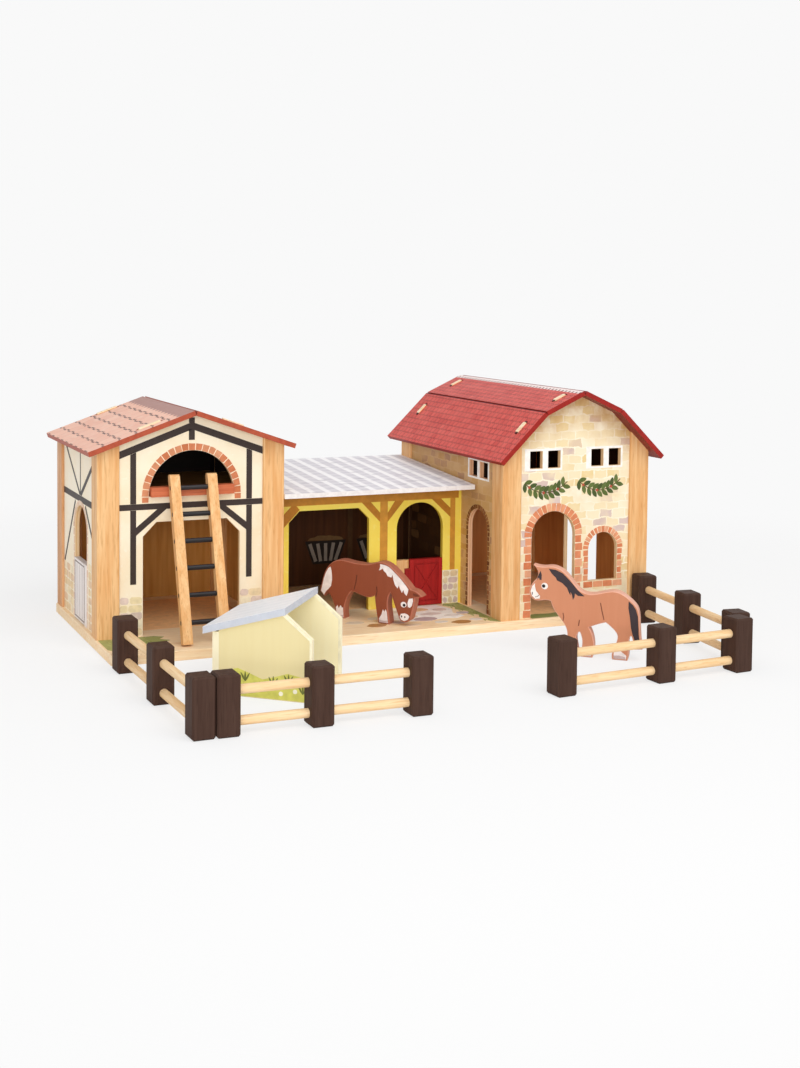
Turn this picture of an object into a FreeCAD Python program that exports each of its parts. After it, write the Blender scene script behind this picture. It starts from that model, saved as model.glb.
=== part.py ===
"""Wooden toy stable: tower, lean-to and barn on one board, with ladder, fences, shelter and two horses.

Millimetres, X to the right along the front, Y to the back, Z up.
The origin is on the ground in the middle of the whole set.
"""
import FreeCAD, Part
import math
import os
from collections import namedtuple

import Sketcher
from FreeCAD import Placement, Rotation, Vector

# Driving dimensions in millimetres
SIZES = {
    # base board
    "base_depth": 246,
    "base_thick": 9.5,
    "base_corner": 4,
    "base_edge": 0.8,
    # timber and panels shared by the tower and the barn
    "post_side": 23,
    "post_corner": 1.5,
    "side_margin": 1.5,
    "back_margin": 2,
    "wall_thick": 5,
    "wall_recess": 3,
    "groove_depth": 4,
    "groove_play": 0.1,
    "roof_thick": 5,
    "cut_overrun": 6,
    # tower
    "tower_width": 197,
    "tower_setback": 64,
    "tower_wall_height": 186.5,
    "tower_gable_rise": 34,
    "tower_eave_left": 10,
    "tower_eave_right": 7,
    "tower_roof_front": 11,
    "tower_door_width": 102,
    "tower_door_height": 114,
    "tower_door_chamfer": 14,
    "loft_arch_radius": 45,
    "loft_height": 139.5,
    "loft_thick": 5,
    "sill_height": 9.5,
    "sill_proud": 5,
    "sill_play": 0.4,
    "side_arch_width": 54,
    "side_arch_spring": 95,
    "side_arch_place": 81,
    # lean-to stable between the two houses
    "stable_width": 220,
    "stable_setback": 98,
    "stable_roof_front": 62,
    "stable_roof_height": 131,
    "stable_roof_rise": 12,
    "stall_left_jamb": 18.5,
    "stall_right_jamb": 19.5,
    "stall_height": 111.5,
    "stall_chamfer": 12,
    "stall_pillar": 33,
    "stall_arch_width": 56,
    "stall_arch_spring": 86,
    # barn
    "barn_width": 180,
    "barn_setback": 3,
    "barn_wall_height": 171.8,
    "barn_eave_out": 6.5,
    "barn_knee_in": 45.5,
    "barn_lower_rise": 44.2,
    "barn_upper_rise": 20,
    "barn_roof_front": 13,
    "barn_roof_back": 18,
    "barn_door_width": 53,
    "barn_door_spring": 86,
    "barn_door_offset": 26.3,
    "barn_window_width": 36,
    "barn_window_sill": 35,
    "barn_window_spring": 69,
    "barn_window_offset": 35.2,
    "pane_width": 15,
    "pane_height": 18.5,
    "pane_sill": 158.5,
    "pane_gap": 6.8,
    "pane_jamb": 11.1,
    "side_pane_width": 17.5,
    "side_pane_height": 17,
    "side_pane_sill": 144.5,
    "side_pane_gap": 5.5,
    "barn_side_place": 57,
    "barn_side_width": 42,
    "barn_side_spring": 89,
    "barn_gate_place": 119.5,
    "barn_gate_width": 68,
    "barn_gate_spring": 84,
    "tower_tenon_length": 24,
    "barn_tenon_length": 14,
    "tenon_proud": 0.4,
    # half doors with wooden knuckle hinges
    "door_thick": 6,
    "door_play": 0.6,
    "hinge_play": 0.3,
    "hinge_pin_radius": 1.2,
    "hinge_bore_play": 0.05,
    "knuckle_height": 9,
    "stall_stile_width": 9.5,
    "stall_door_height": 51.5,
    "side_stile_width": 6,
    "side_door_height": 64,
    "brace_inset": 4.5,
    "brace_groove_width": 1.4,
    "brace_groove_depth": 0.7,
    # ladder
    "ladder_width": 49,
    "ladder_offset": 1.5,
    "ladder_past_sill": 11.92,
    "ladder_reach": 43,
    "ladder_gap": 0.3,
    "stringer_width": 10,
    "stringer_depth": 8,
    "rung_radius": 2.5,
    "rung_first": 21,
    "rung_top": 13.5,
    "rung_inset": 0.5,
    "rung_play": 0.05,
    # fences round the yard
    "yard_depth": 238.5,
    "fence_side": 20,
    "fence_height": 51,
    "fence_bevel": 1.6,
    "rail_radius": 4,
    "rail_low": 10.5,
    "rail_high": 36,
    "rail_seat": 10,
    "rail_play": 0.05,
    "fence_a_left": 2.4,
    "fence_a_front": 8.8,
    "fence_a_near": 106.5,
    "fence_b_in": 24.4,
    "fence_b_near": 81.5,
    "fence_b_far": 172,
    "fence_c_in": 23.5,
    "fence_c_front": 0.1,
    "fence_c_near": 89,
    "fence_c_short": 62.1,
    "fence_d_in": 257.7,
    "fence_d_back": 7.1,
    "fence_d_near": 110,
    "fence_d_far": 200.6,
    # small shelter
    "shelter_in": 61.4,
    "shelter_front": 114.4,
    "shelter_width": 92.5,
    "shelter_depth": 91,
    "shelter_eave": 55.5,
    "shelter_peak_place": 68,
    "shelter_peak_height": 75.5,
    "shelter_wall": 4,
    "shelter_side_wall": 6,
    "shelter_roof_thick": 6,
    "shelter_roof_eave": 8.5,
    "shelter_roof_end": 2,
    # horses, each sawn from one thick board
    "horse_thick": 13,
    "horse_bevel": 0.8,
    "mare_in": 100.1,
    "mare_back": 34.4,
    "mare_length": 117,
    "mare_height": 64,
    "foal_in": 132.6,
    "foal_front": 140.3,
    "foal_length": 109,
    "foal_height": 87,
}
RUNG_COUNT = 6
# Turns of the loose pieces about the upright, in degrees
TURN_DEGREES = {
    "fence_a_turn": -88.5,
    "fence_b_turn": 0,
    "fence_c_turn": -96.5,
    "fence_d_turn": 3.9,
    "shelter_turn": -40,
    "mare_turn": -50,
    "foal_turn": -40,
}
# Places of the tenons' middles as shares of the tower's roof line and of the barn's, above posts and knee
TENON_TOWER_SHARE = 0.572
TENON_LOW_SHARE = 0.33
TENON_HIGH_SHARE = 0.6

# Outlines of the horses as shares of length and height; each stretch is one smooth curve
MARE_FOOT_SHARE = 0.64
MARE_OUTLINE_SHARES = (
    # crest, withers, back, rump and the outside of the tail
    ((0.895, 0.61), (0.82, 0.755), (0.75, 0.87), (0.68, 0.965), (0.60, 1.0), (0.50, 0.95), (0.41, 0.935),
     (0.30, 0.95), (0.18, 0.96), (0.09, 0.86), (0.03, 0.65), (0.0, 0.42)),
    ((0.0, 0.42), (0.045, 0.335)),
    ((0.045, 0.335), (0.075, 0.42), (0.10, 0.37)),
    # hind leg and belly
    ((0.10, 0.37), (0.145, 0.20), (0.166, 0.0)),
    ((0.166, 0.0), (0.25, 0.0)),
    ((0.25, 0.0), (0.245, 0.16), (0.262, 0.30), (0.315, 0.47)),
    ((0.315, 0.47), (0.40, 0.43), (0.50, 0.405), (0.545, 0.44)),
    # foreleg
    ((0.545, 0.44), (0.562, 0.20), (0.583, 0.0)),
    ((0.583, 0.0), (0.69, 0.0)),
    ((0.69, 0.0), (0.676, 0.22), (0.68, 0.45), (0.70, 0.52)),
    # throat, jaw, muzzle and face
    ((0.70, 0.52), (0.736, 0.345), (0.776, 0.16), (0.80, 0.085), (0.84, 0.067), (0.88, 0.10), (0.90, 0.19),
     (0.92, 0.34), (0.932, 0.48)),
    # ear
    ((0.932, 0.48), (1.0, 0.51)),
    ((1.0, 0.51), (0.96, 0.575), (0.895, 0.61)),
)
FOAL_FOOT_SHARE = 0.81
FOAL_OUTLINE_SHARES = (
    # muzzle, jaw, throat and chest
    ((0.04, 0.81), (0.01, 0.75), (0.0, 0.70), (0.015, 0.635), (0.055, 0.60), (0.12, 0.605), (0.195, 0.60)),
    ((0.195, 0.60), (0.235, 0.49), (0.29, 0.40), (0.335, 0.31), (0.345, 0.17), (0.335, 0.0)),
    # forelegs
    ((0.335, 0.0), (0.43, 0.0)),
    ((0.43, 0.0), (0.427, 0.16), (0.436, 0.26), (0.451, 0.28), (0.466, 0.25), (0.477, 0.13), (0.466, 0.0)),
    ((0.466, 0.0), (0.568, 0.0)),
    ((0.568, 0.0), (0.578, 0.19), (0.535, 0.34)),
    # belly and hind leg
    ((0.535, 0.34), (0.63, 0.39), (0.68, 0.41)),
    ((0.68, 0.41), (0.74, 0.35), (0.782, 0.28), (0.75, 0.12), (0.742, 0.0)),
    ((0.742, 0.0), (0.872, 0.0)),
    ((0.872, 0.0), (0.881, 0.13), (0.888, 0.25), (0.901, 0.28), (0.913, 0.25), (0.92, 0.19), (0.925, 0.13)),
    # tail, rump, back, crest and the ear
    ((0.925, 0.13), (1.0, 0.14)),
    ((1.0, 0.14), (0.98, 0.30), (0.972, 0.47), (0.955, 0.585), (0.88, 0.69), (0.775, 0.762), (0.63, 0.735),
     (0.54, 0.715), (0.47, 0.735), (0.38, 0.85), (0.275, 0.97), (0.16, 0.99)),
    ((0.16, 0.99), (0.10, 0.985), (0.035, 1.0)),
    ((0.035, 1.0), (0.078, 0.91), (0.04, 0.81)),
)

Arc = namedtuple("Arc", "x y radius ccw")
PLANES = {"plan": "XY_Plane", "front": "XZ_Plane", "side": "YZ_Plane"}
UP = Vector(0, 0, 1)
ALONG_X = Vector(1, 0, 0)
ALONG_Y = Vector(0, 1, 0)

doc = FreeCAD.newDocument("toy_stable")
sheet = doc.addObject("Spreadsheet::Sheet", "sizes")
for row, (alias, number) in enumerate([*SIZES.items(), *TURN_DEGREES.items()], start=1):
    sheet.set(f"A{row}", alias)
    sheet.set(f"B{row}", str(number))
    sheet.setAlias(f"B{row}", alias)
doc.recompute()


class Size:
    """A length that knows its number and the sheet formula that gives it."""

    def __init__(self, number, formula):
        self.number = number
        self.formula = formula

    def join(self, sign, other, number):
        return Size(number, f"({self.formula} {sign} {other.formula})")

    def __add__(self, other):
        return self.join("+", other, self.number + other.number)

    def __sub__(self, other):
        return self.join("-", other, self.number - other.number)

    def __mul__(self, other):
        other = other if isinstance(other, Size) else Size(other, str(other))
        return self.join("*", other, self.number * other.number)

    def __truediv__(self, other):
        other = other if isinstance(other, Size) else Size(other, str(other))
        return self.join("/", other, self.number / other.number)

    def __neg__(self):
        return ZERO - self

    def root(self):
        return Size(math.sqrt(self.number), f"sqrt({self.formula})")

    def steepness(self):
        return Size(math.degrees(math.atan(self.number)), f"atan({self.formula})")


ZERO = Size(0.0, "0")
ONE = Size(1.0, "1")
QUARTER = Size(90.0, "90")


def size(name):
    return Size(float(sheet.get(name)), f"sizes.{name}")


def diagonal(run, rise):
    return (run * run + rise * rise).root()


def fix(sketch, direction, edge, end, length):
    """Ties one coordinate of a point to its formula."""
    if length is ZERO:
        axis = -2 if direction == "DistanceX" else -1
        sketch.addConstraint(Sketcher.Constraint("PointOnObject", edge, end, axis))
        return
    if length.number < 0:
        length = -length
        rule = Sketcher.Constraint(direction, edge, end, -1, 1, length.number)
    else:
        rule = Sketcher.Constraint(direction, -1, 1, edge, end, length.number)
    sketch.setExpression(f"Constraints[{sketch.addConstraint(rule)}]", length.formula)


def fix_radius(sketch, edge, radius):
    rule = Sketcher.Constraint("Radius", edge, radius.number)
    sketch.setExpression(f"Constraints[{sketch.addConstraint(rule)}]", radius.formula)


def draw_circle(sketch, x, y, radius):
    edge = sketch.addGeometry(Part.Circle(Vector(x.number, y.number, 0), UP, radius.number))
    fix(sketch, "DistanceX", edge, 3, x)
    fix(sketch, "DistanceY", edge, 3, y)
    fix_radius(sketch, edge, radius)


def draw_loop(sketch, loop):
    """Draws a closed loop of corners (x, y), where an Arc between two corners rounds the way between them."""
    corners = [place for place, item in enumerate(loop) if not isinstance(item, Arc)]
    edges = []
    for place, following in zip(corners, corners[1:] + corners[:1]):
        middle = loop[(place + 1) % len(loop)]
        start, stop = (Vector(loop[c][0].number, loop[c][1].number, 0) for c in (place, following))
        if isinstance(middle, Arc):
            centre = Vector(middle.x.number, middle.y.number, 0)
            first, last = (start, stop) if middle.ccw else (stop, start)
            angles = [math.atan2(point.y - centre.y, point.x - centre.x) for point in (first, last)]
            circle = Part.Circle(centre, UP, middle.radius.number)
            edge = sketch.addGeometry(Part.ArcOfCircle(circle, *angles))
            edges.append((edge, (1, 2) if middle.ccw else (2, 1), middle, start - centre, stop - centre))
        else:
            edge = sketch.addGeometry(Part.LineSegment(start, stop))
            edges.append((edge, (1, 2), None, None, None))
    for before, after in zip(edges, edges[1:] + edges[:1]):
        sketch.addConstraint(Sketcher.Constraint("Coincident", before[0], before[1][1], after[0], after[1][0]))
    for count, (edge, ends, arc, spoke, _) in enumerate(edges):
        previous = edges[count - 1]
        if arc:
            fix(sketch, "DistanceX", edge, 3, arc.x)
            fix(sketch, "DistanceY", edge, 3, arc.y)
            fix_radius(sketch, edge, arc.radius)
        elif previous[2]:
            spoke = previous[4]
        x, y = loop[corners[count]]
        if spoke is None or abs(spoke.y) > abs(spoke.x):
            fix(sketch, "DistanceX", edge, ends[0], x)
        if spoke is None or abs(spoke.y) <= abs(spoke.x):
            fix(sketch, "DistanceY", edge, ends[0], y)


def profile(body, view, loops, level=None):
    """Adds a sketch on one of the body's own planes, raised to a level along that plane's normal."""
    sketch = body.newObject("Sketcher::SketchObject", f"{body.Label}_profile")
    plane = next(item for item in body.Origin.OriginFeatures if item.Role == PLANES[view])
    sketch.AttachmentSupport = [(plane, "")]
    sketch.MapMode = "FlatFace"
    if level:
        sketch.setExpression("AttachmentOffset.Base.z", level.formula)
    for loop in loops:
        if isinstance(loop[0], Size):
            draw_circle(sketch, *loop)
        else:
            draw_loop(sketch, loop)
    return sketch


def new_body(label):
    body = doc.addObject("PartDesign::Body", label)
    body.Label = label
    return body


def pad(body, view, loops, length, level=None):
    """Raises loops along +Z (plan), +Y (front) or +X (side)."""
    feature = body.newObject("PartDesign::Pad", f"{body.Label}_pad")
    feature.Profile = profile(body, view, loops, level)
    feature.setExpression("Length", length.formula)
    feature.Reversed = view == "front"
    return feature


def cut_through(body, view, loops):
    feature = body.newObject("PartDesign::Pocket", f"{body.Label}_cut")
    feature.Profile = profile(body, view, loops)
    feature.Type = "ThroughAll"
    feature.Midplane = True
    return feature


def cut_blind(body, view, loops, length, level, onward):
    """Cuts to a depth from a level, onward along the plane's normal or back against it."""
    feature = body.newObject("PartDesign::Pocket", f"{body.Label}_seat")
    feature.Profile = profile(body, view, loops, level)
    feature.setExpression("Length", length.formula)
    feature.Reversed = onward
    return feature


def place(part, x, y, z, axis=None, turn=None):
    if turn:
        part.Placement = Placement(Vector(), Rotation(axis, turn.number))
        part.setExpression("Placement.Rotation.Angle", turn.formula)
    for letter, length in zip("xyz", (x, y, z)):
        part.setExpression(f"Placement.Base.{letter}", length.formula)


def rectangle(x_from, y_from, x_to, y_to):
    return [(x_from, y_from), (x_to, y_from), (x_to, y_to), (x_from, y_to)]


def rounded(width, depth, corner):
    """A rectangle from the corner of its plane, with four round corners."""
    return [(corner, ZERO), (width - corner, ZERO), Arc(width - corner, corner, corner, True),
            (width, corner), (width, depth - corner), Arc(width - corner, depth - corner, corner, True),
            (width - corner, depth), (corner, depth), Arc(corner, depth - corner, corner, True),
            (ZERO, depth - corner), (ZERO, corner), Arc(corner, corner, corner, True)]


def arch_gap(middle, width, spring):
    """Corners of a round-headed doorway that stands on the floor, from its left foot to its right foot."""
    radius = width / 2
    return [(middle - radius, ZERO), (middle - radius, spring), Arc(middle, spring, radius, False),
            (middle + radius, spring), (middle + radius, ZERO)]


def chamfered_gap(left, right, height, chamfer):
    """Corners of a doorway on the floor whose two top corners are cut off."""
    return [(left, ZERO), (left, height - chamfer), (left + chamfer, height),
            (right - chamfer, height), (right, height - chamfer), (right, ZERO)]


# Shared lengths and the places of the three houses
overrun = size("cut_overrun")
floor = size("base_thick")
post = size("post_side")
wall = size("wall_thick")
recess = size("wall_recess")
play = size("groove_play")
roof = size("roof_thick")
tongue = post - size("groove_depth") + play

tower_width = size("tower_width")
tower_slope = size("tower_gable_rise") / (tower_width / 2)
barn_width = size("barn_width")
knee_in = size("barn_knee_in")
barn_slope = size("barn_lower_rise") / knee_in
ridge_slope = size("barn_upper_rise") / (barn_width / 2 - knee_in)


def lean_of_edge(slope):
    """How far the outer corner of a panel's square edge leans out, for a panel of that slope."""
    return roof * slope / (slope * slope + ONE).root()


base_width = size("side_margin") * 2 + tower_width + size("stable_width") + barn_width
left_reach = size("tower_eave_left") + lean_of_edge(tower_slope) - size("side_margin")
right_reach = size("barn_eave_out") + lean_of_edge(barn_slope) - size("side_margin")
back_line = size("base_depth") - size("back_margin")
base_left = (left_reach - right_reach - base_width) / 2
base_right = base_left + base_width
base_front = (size("yard_depth") - back_line - size("barn_roof_back")) / 2

tower_left = base_left + size("side_margin")
tower_right = tower_left + tower_width
tower_front = base_front + size("tower_setback")
house_back = base_front + back_line
tower_depth = house_back - tower_front
barn_right = base_right - size("side_margin")
barn_left = barn_right - barn_width
barn_front = base_front + size("barn_setback")
barn_depth = house_back - barn_front


def build_base():
    body = new_body("base_board")
    board = pad(body, "plan", [rounded(base_width, size("base_depth"), size("base_corner"))], floor)
    doc.recompute()
    top = max(range(len(board.Shape.Faces)), key=lambda count: board.Shape.Faces[count].CenterOfMass.z)
    edge = body.newObject("PartDesign::Chamfer", "base_board_edge")
    edge.Base = (board, [f"Face{top + 1}"])
    edge.setExpression("Size", size("base_edge").formula)
    place(body, base_left, base_front, ZERO)


def corner_posts(house, left, right, front, wall_height, slope):
    """Four round-cornered posts whose tops follow the roof, each grooved for the two panels that meet in it."""
    low, high = wall_height, wall_height + slope * post
    near, far, deep = recess - play, recess + wall + play, tongue - play
    for side, x in (("left", left), ("right", right - post)):
        for end, y in (("front", front), ("back", house_back - post)):
            def across(length):
                return length if side == "left" else post - length

            def inward(length):
                return length if end == "front" else post - length

            body = new_body(f"{house}_post_{end}_{side}")
            pad(body, "plan", [rounded(post, post, size("post_corner"))], high)
            rise = slope * overrun
            cut_through(body, "front", [[(across(-overrun), low - rise), (across(post + overrun), high + rise),
                                         (across(-overrun), high + rise)]])
            cut_through(body, "plan", [rectangle(across(deep), inward(near), across(post + overrun), inward(far))])
            cut_through(body, "plan", [rectangle(across(near), inward(deep), across(far), inward(post + overrun))])
            place(body, x, y, floor)


def gable_wall(label, left, y, outline_top, width, gaps=(), holes=()):
    """A gable panel: floor edge with its doorways, then the roof line from right to left."""
    floor_edge = [(tongue, ZERO)]
    for gap in gaps:
        floor_edge += gap
    floor_edge.append((width - tongue, ZERO))
    body = new_body(label)
    pad(body, "front", [floor_edge + outline_top, *holes], wall)
    place(body, left, y, floor)


def side_wall(label, x, front, depth, height, gap=(), holes=()):
    """A side panel between two posts, with at most one doorway."""
    outline = [(tongue, ZERO), *gap, (depth - tongue, ZERO), (depth - tongue, height), (tongue, height)]
    body = new_body(label)
    pad(body, "side", [outline, *holes], wall)
    place(body, x, front, floor)


def roof_panel(label, x, z, run, slope, front, depth, downhill, slots=()):
    """A square-edged board on the slope, from its lower edge up or from the ridge downhill to the right."""
    length = diagonal(run, run * slope)
    body = new_body(label)
    pad(body, "plan", [rectangle(ZERO, ZERO, length, depth), *slots], roof)
    place(body, x, front, z, ALONG_Y if downhill else -ALONG_Y, slope.steepness())


def build_tower():
    wall_height = size("tower_wall_height")
    middle = tower_width / 2
    apex = wall_height + size("tower_gable_rise")
    corner_posts("tower", tower_left, tower_right, tower_front, wall_height, tower_slope)
    slope_length, grip = diagonal(middle, apex - wall_height), size("tower_tenon_length")
    tenon_place = slope_length * TENON_TOWER_SHARE
    left_half = [(tongue, wall_height + tower_slope * tongue),
                 *tenon((ZERO, wall_height), tower_slope, tenon_place, grip)]
    roof_line = [*mirrored(left_half, tower_width), (middle, apex), *reversed(left_half)]
    half_door = size("tower_door_width") / 2
    doorway = chamfered_gap(middle - half_door, middle + half_door, size("tower_door_height"),
                            size("tower_door_chamfer"))
    radius, loft = size("loft_arch_radius"), size("loft_height")
    loft_arch = [(middle - radius, loft), (middle + radius, loft), Arc(middle, loft, radius, True)]
    gable_wall("tower_wall_front", tower_left, tower_front + recess, roof_line, tower_width,
               [doorway], [loft_arch])
    gable_wall("tower_wall_back", tower_left, house_back - recess - wall, roof_line, tower_width)
    side_height = wall_height + tower_slope * recess
    side_arch = arch_gap(size("side_arch_place"), size("side_arch_width"), size("side_arch_spring"))
    side_wall("tower_wall_left", tower_left + recess, tower_front, tower_depth, side_height, side_arch)
    side_wall("tower_wall_right", tower_right - recess - wall, tower_front, tower_depth, side_height)
    build_loft(middle, radius, loft)
    front = tower_front - size("tower_roof_front")
    depth = house_back - front
    rows = [tower_front + recess + wall / 2 - front, house_back - recess - wall / 2 - front]
    reach = size("tower_eave_left")
    eave_length = slope_length * (reach / middle)
    roof_panel("tower_roof_left", tower_left - reach, floor + wall_height - tower_slope * reach,
               middle + reach, tower_slope, front, depth, False, slots_at(eave_length + tenon_place, rows, grip))
    roof_panel("tower_roof_right", tower_left + middle, floor + apex, middle + size("tower_eave_right"),
               tower_slope, front, depth, True, slots_at(slope_length - tenon_place, rows, grip))


def build_loft(middle, radius, loft):
    """The loft floor, notched round the posts, and the sill on the front edge of its arch."""
    edge, inner = recess + wall, post + play
    far_x, far_y = tower_width - edge, tower_depth - edge
    deep_x, deep_y = tower_width - inner, tower_depth - inner
    outline = [(inner, edge), (deep_x, edge), (deep_x, inner), (far_x, inner), (far_x, deep_y), (deep_x, deep_y),
               (deep_x, far_y), (inner, far_y), (inner, deep_y), (edge, deep_y), (edge, inner), (inner, inner)]
    board = new_body("loft_floor")
    pad(board, "plan", [outline], size("loft_thick"))
    place(board, tower_left, tower_front, floor + loft - size("loft_thick"))
    rise = size("sill_height")
    half = (radius * radius - rise * rise).root() - size("sill_play")
    sill = new_body("loft_sill")
    pad(sill, "plan", [rectangle(-half, -size("sill_proud"), half, wall)], rise)
    place(sill, tower_left + middle, tower_front + recess, floor + loft)


def tenon(start, slope, centre, length):
    """Four corners of a tenon that stands on a rising roof line, its place measured along the line."""
    stretch = (slope * slope + ONE).root()
    along, upward = ONE / stretch, slope / stretch
    half, height = length / 2, roof + size("tenon_proud")
    feet = [(start[0] + along * reach, start[1] + upward * reach) for reach in (centre - half, centre + half)]
    tips = [(x - upward * height, y + along * height) for x, y in feet]
    return [feet[0], tips[0], tips[1], feet[1]]


def mirrored(points, width):
    return [(width - x, y) for x, y in points]


def build_barn():
    wall_height = size("barn_wall_height")
    knee = wall_height + size("barn_lower_rise")
    ridge = knee + size("barn_upper_rise")
    eave_out = size("barn_eave_out")
    middle = barn_width / 2
    corner_posts("barn", barn_left, barn_right, barn_front, wall_height, barn_slope)
    low_length = diagonal(knee_in, knee - wall_height)
    shoulder = low_length * (tongue / knee_in)
    low_place = shoulder + (low_length - shoulder) * TENON_LOW_SHARE
    high_length = diagonal(middle - knee_in, ridge - knee)
    high_place = high_length * TENON_HIGH_SHARE
    grip = size("barn_tenon_length")
    left_half = [(tongue, wall_height + barn_slope * tongue),
                 *tenon((ZERO, wall_height), barn_slope, low_place, grip), (knee_in, knee),
                 *tenon((knee_in, knee), ridge_slope, high_place, grip)]
    roof_line = [*mirrored(left_half, barn_width), (middle, ridge), *reversed(left_half)]
    gable_wall("barn_wall_front", barn_left, barn_front + recess, roof_line, barn_width,
               [arch_gap(middle - size("barn_door_offset"), size("barn_door_width"), size("barn_door_spring"))],
               [arched_window(middle), *pane_holes()])
    gable_wall("barn_wall_back", barn_left, house_back - recess - wall, roof_line, barn_width)
    side_height = wall_height + barn_slope * recess
    side_wall("barn_wall_left", barn_left + recess, barn_front, barn_depth, side_height,
              arch_gap(size("barn_side_place"), size("barn_side_width"), size("barn_side_spring")),
              side_panes())
    side_wall("barn_wall_right", barn_right - recess - wall, barn_front, barn_depth, side_height,
              arch_gap(size("barn_gate_place"), size("barn_gate_width"), size("barn_gate_spring")))
    front = barn_front - size("barn_roof_front")
    depth = house_back + size("barn_roof_back") - front
    rows = [barn_front + recess + wall / 2 - front, house_back - recess - wall / 2 - front]
    low_run = knee_in + eave_out
    low_reach = low_length * (eave_out / knee_in)
    low_slots = slots_at(low_reach + low_place, rows, grip)
    far_slots = slots_at(low_length - low_place, rows, grip)
    roof_panel("barn_roof_left_low", barn_left - eave_out, floor + wall_height - barn_slope * eave_out,
               low_run, barn_slope, front, depth, False, low_slots)
    roof_panel("barn_roof_left_high", barn_left + knee_in, floor + knee,
               middle - knee_in, ridge_slope, front, depth, False, slots_at(high_place, rows, grip))
    roof_panel("barn_roof_right_high", barn_left + middle, floor + ridge,
               middle - knee_in, ridge_slope, front, depth, True, slots_at(high_length - high_place, rows, grip))
    roof_panel("barn_roof_right_low", barn_right - knee_in, floor + knee,
               low_run, barn_slope, front, depth, True, far_slots)


def arched_window(house_middle):
    middle, radius = house_middle + size("barn_window_offset"), size("barn_window_width") / 2
    sill, spring = size("barn_window_sill"), size("barn_window_spring")
    return [(middle - radius, sill), (middle + radius, sill), (middle + radius, spring),
            Arc(middle, spring, radius, True), (middle - radius, spring)]


def pane_holes():
    """Two pairs of small windows, alike on both sides of the middle."""
    width, sill, jamb = size("pane_width"), size("pane_sill"), post + size("pane_jamb")
    pair = width * 2 + size("pane_gap")
    holes = []
    for start in (jamb, barn_width - jamb - pair):
        for left in (start, start + width + size("pane_gap")):
            holes.append(rectangle(left, sill, left + width, sill + size("pane_height")))
    return holes


def side_panes():
    width, sill = size("side_pane_width"), size("side_pane_sill")
    pair, inside = size("barn_side_place"), size("side_pane_gap") / 2
    return [rectangle(left, sill, left + width, sill + size("side_pane_height"))
            for left in (pair - inside - width, pair + inside)]


def slots_at(centre, rows, length):
    """Round-ended slots across a roof board, one over each gable."""
    half, radius = length / 2 + play, wall / 2 + play
    return [[(centre - half, row - radius), (centre + half, row - radius), Arc(centre + half, row, radius, True),
             (centre + half, row + radius), (centre - half, row + radius), Arc(centre - half, row, radius, True)]
            for row in rows]


def build_stable():
    """The lean-to: a front with two openings, a back wall and one board that slopes to the front."""
    gap = barn_left - tower_right
    front, back = size("stable_setback"), back_line - recess - wall
    eave = size("stable_roof_front")
    run = back_line - eave
    slope = size("stable_roof_rise") / run
    height = size("stable_roof_height")
    width = gap + recess * 2
    arch_middle = width - recess - size("stall_right_jamb") - size("stall_arch_width") / 2
    stall_left = recess + size("stall_left_jamb")
    stall_right = arch_middle - size("stall_arch_width") / 2 - size("stall_pillar")
    top = height + slope * (front - eave)
    stall = chamfered_gap(stall_left, stall_right, size("stall_height"), size("stall_chamfer"))
    arch = arch_gap(arch_middle, size("stall_arch_width"), size("stall_arch_spring"))
    face = new_body("stable_wall_front")
    pad(face, "front", [[(ZERO, ZERO), *stall, *arch, (width, ZERO), (width, top), (ZERO, top)]], wall)
    place(face, tower_right - recess, base_front + front, floor)
    rear = new_body("stable_wall_back")
    pad(rear, "front", [rectangle(ZERO, ZERO, gap, height + slope * (back - eave))], wall)
    place(rear, tower_right, base_front + back, floor)
    board = new_body("stable_roof")
    pad(board, "plan", [rectangle(ZERO, ZERO, gap, diagonal(run, size("stable_roof_rise")))], roof)
    place(board, tower_right, base_front + eave, floor + height, ALONG_X, slope.steepness())
    half_door("stall_door", size("stall_arch_width"), size("stall_door_height"), size("stall_stile_width"),
              tower_right - recess + arch_middle - size("stall_arch_width") / 2,
              base_front + front + wall / 2, None, True)
    half_door("side_door", size("side_arch_width"), size("side_door_height"), size("side_stile_width"),
              tower_left + recess + wall / 2,
              tower_front + size("side_arch_place") - size("side_arch_width") / 2, QUARTER, False)


def barrel(axis, radius, reach):
    """Plan of a hinge knuckle: round about the pin, square where it joins its board at reach."""
    inward = reach.number > axis.number
    return [(axis, -radius), (reach, -radius), (reach, radius), (axis, radius), Arc(axis, ZERO, radius, True)] \
        if inward else \
        [(reach, -radius), (axis, -radius), Arc(axis, ZERO, radius, True), (axis, radius), (reach, radius)]


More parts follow.
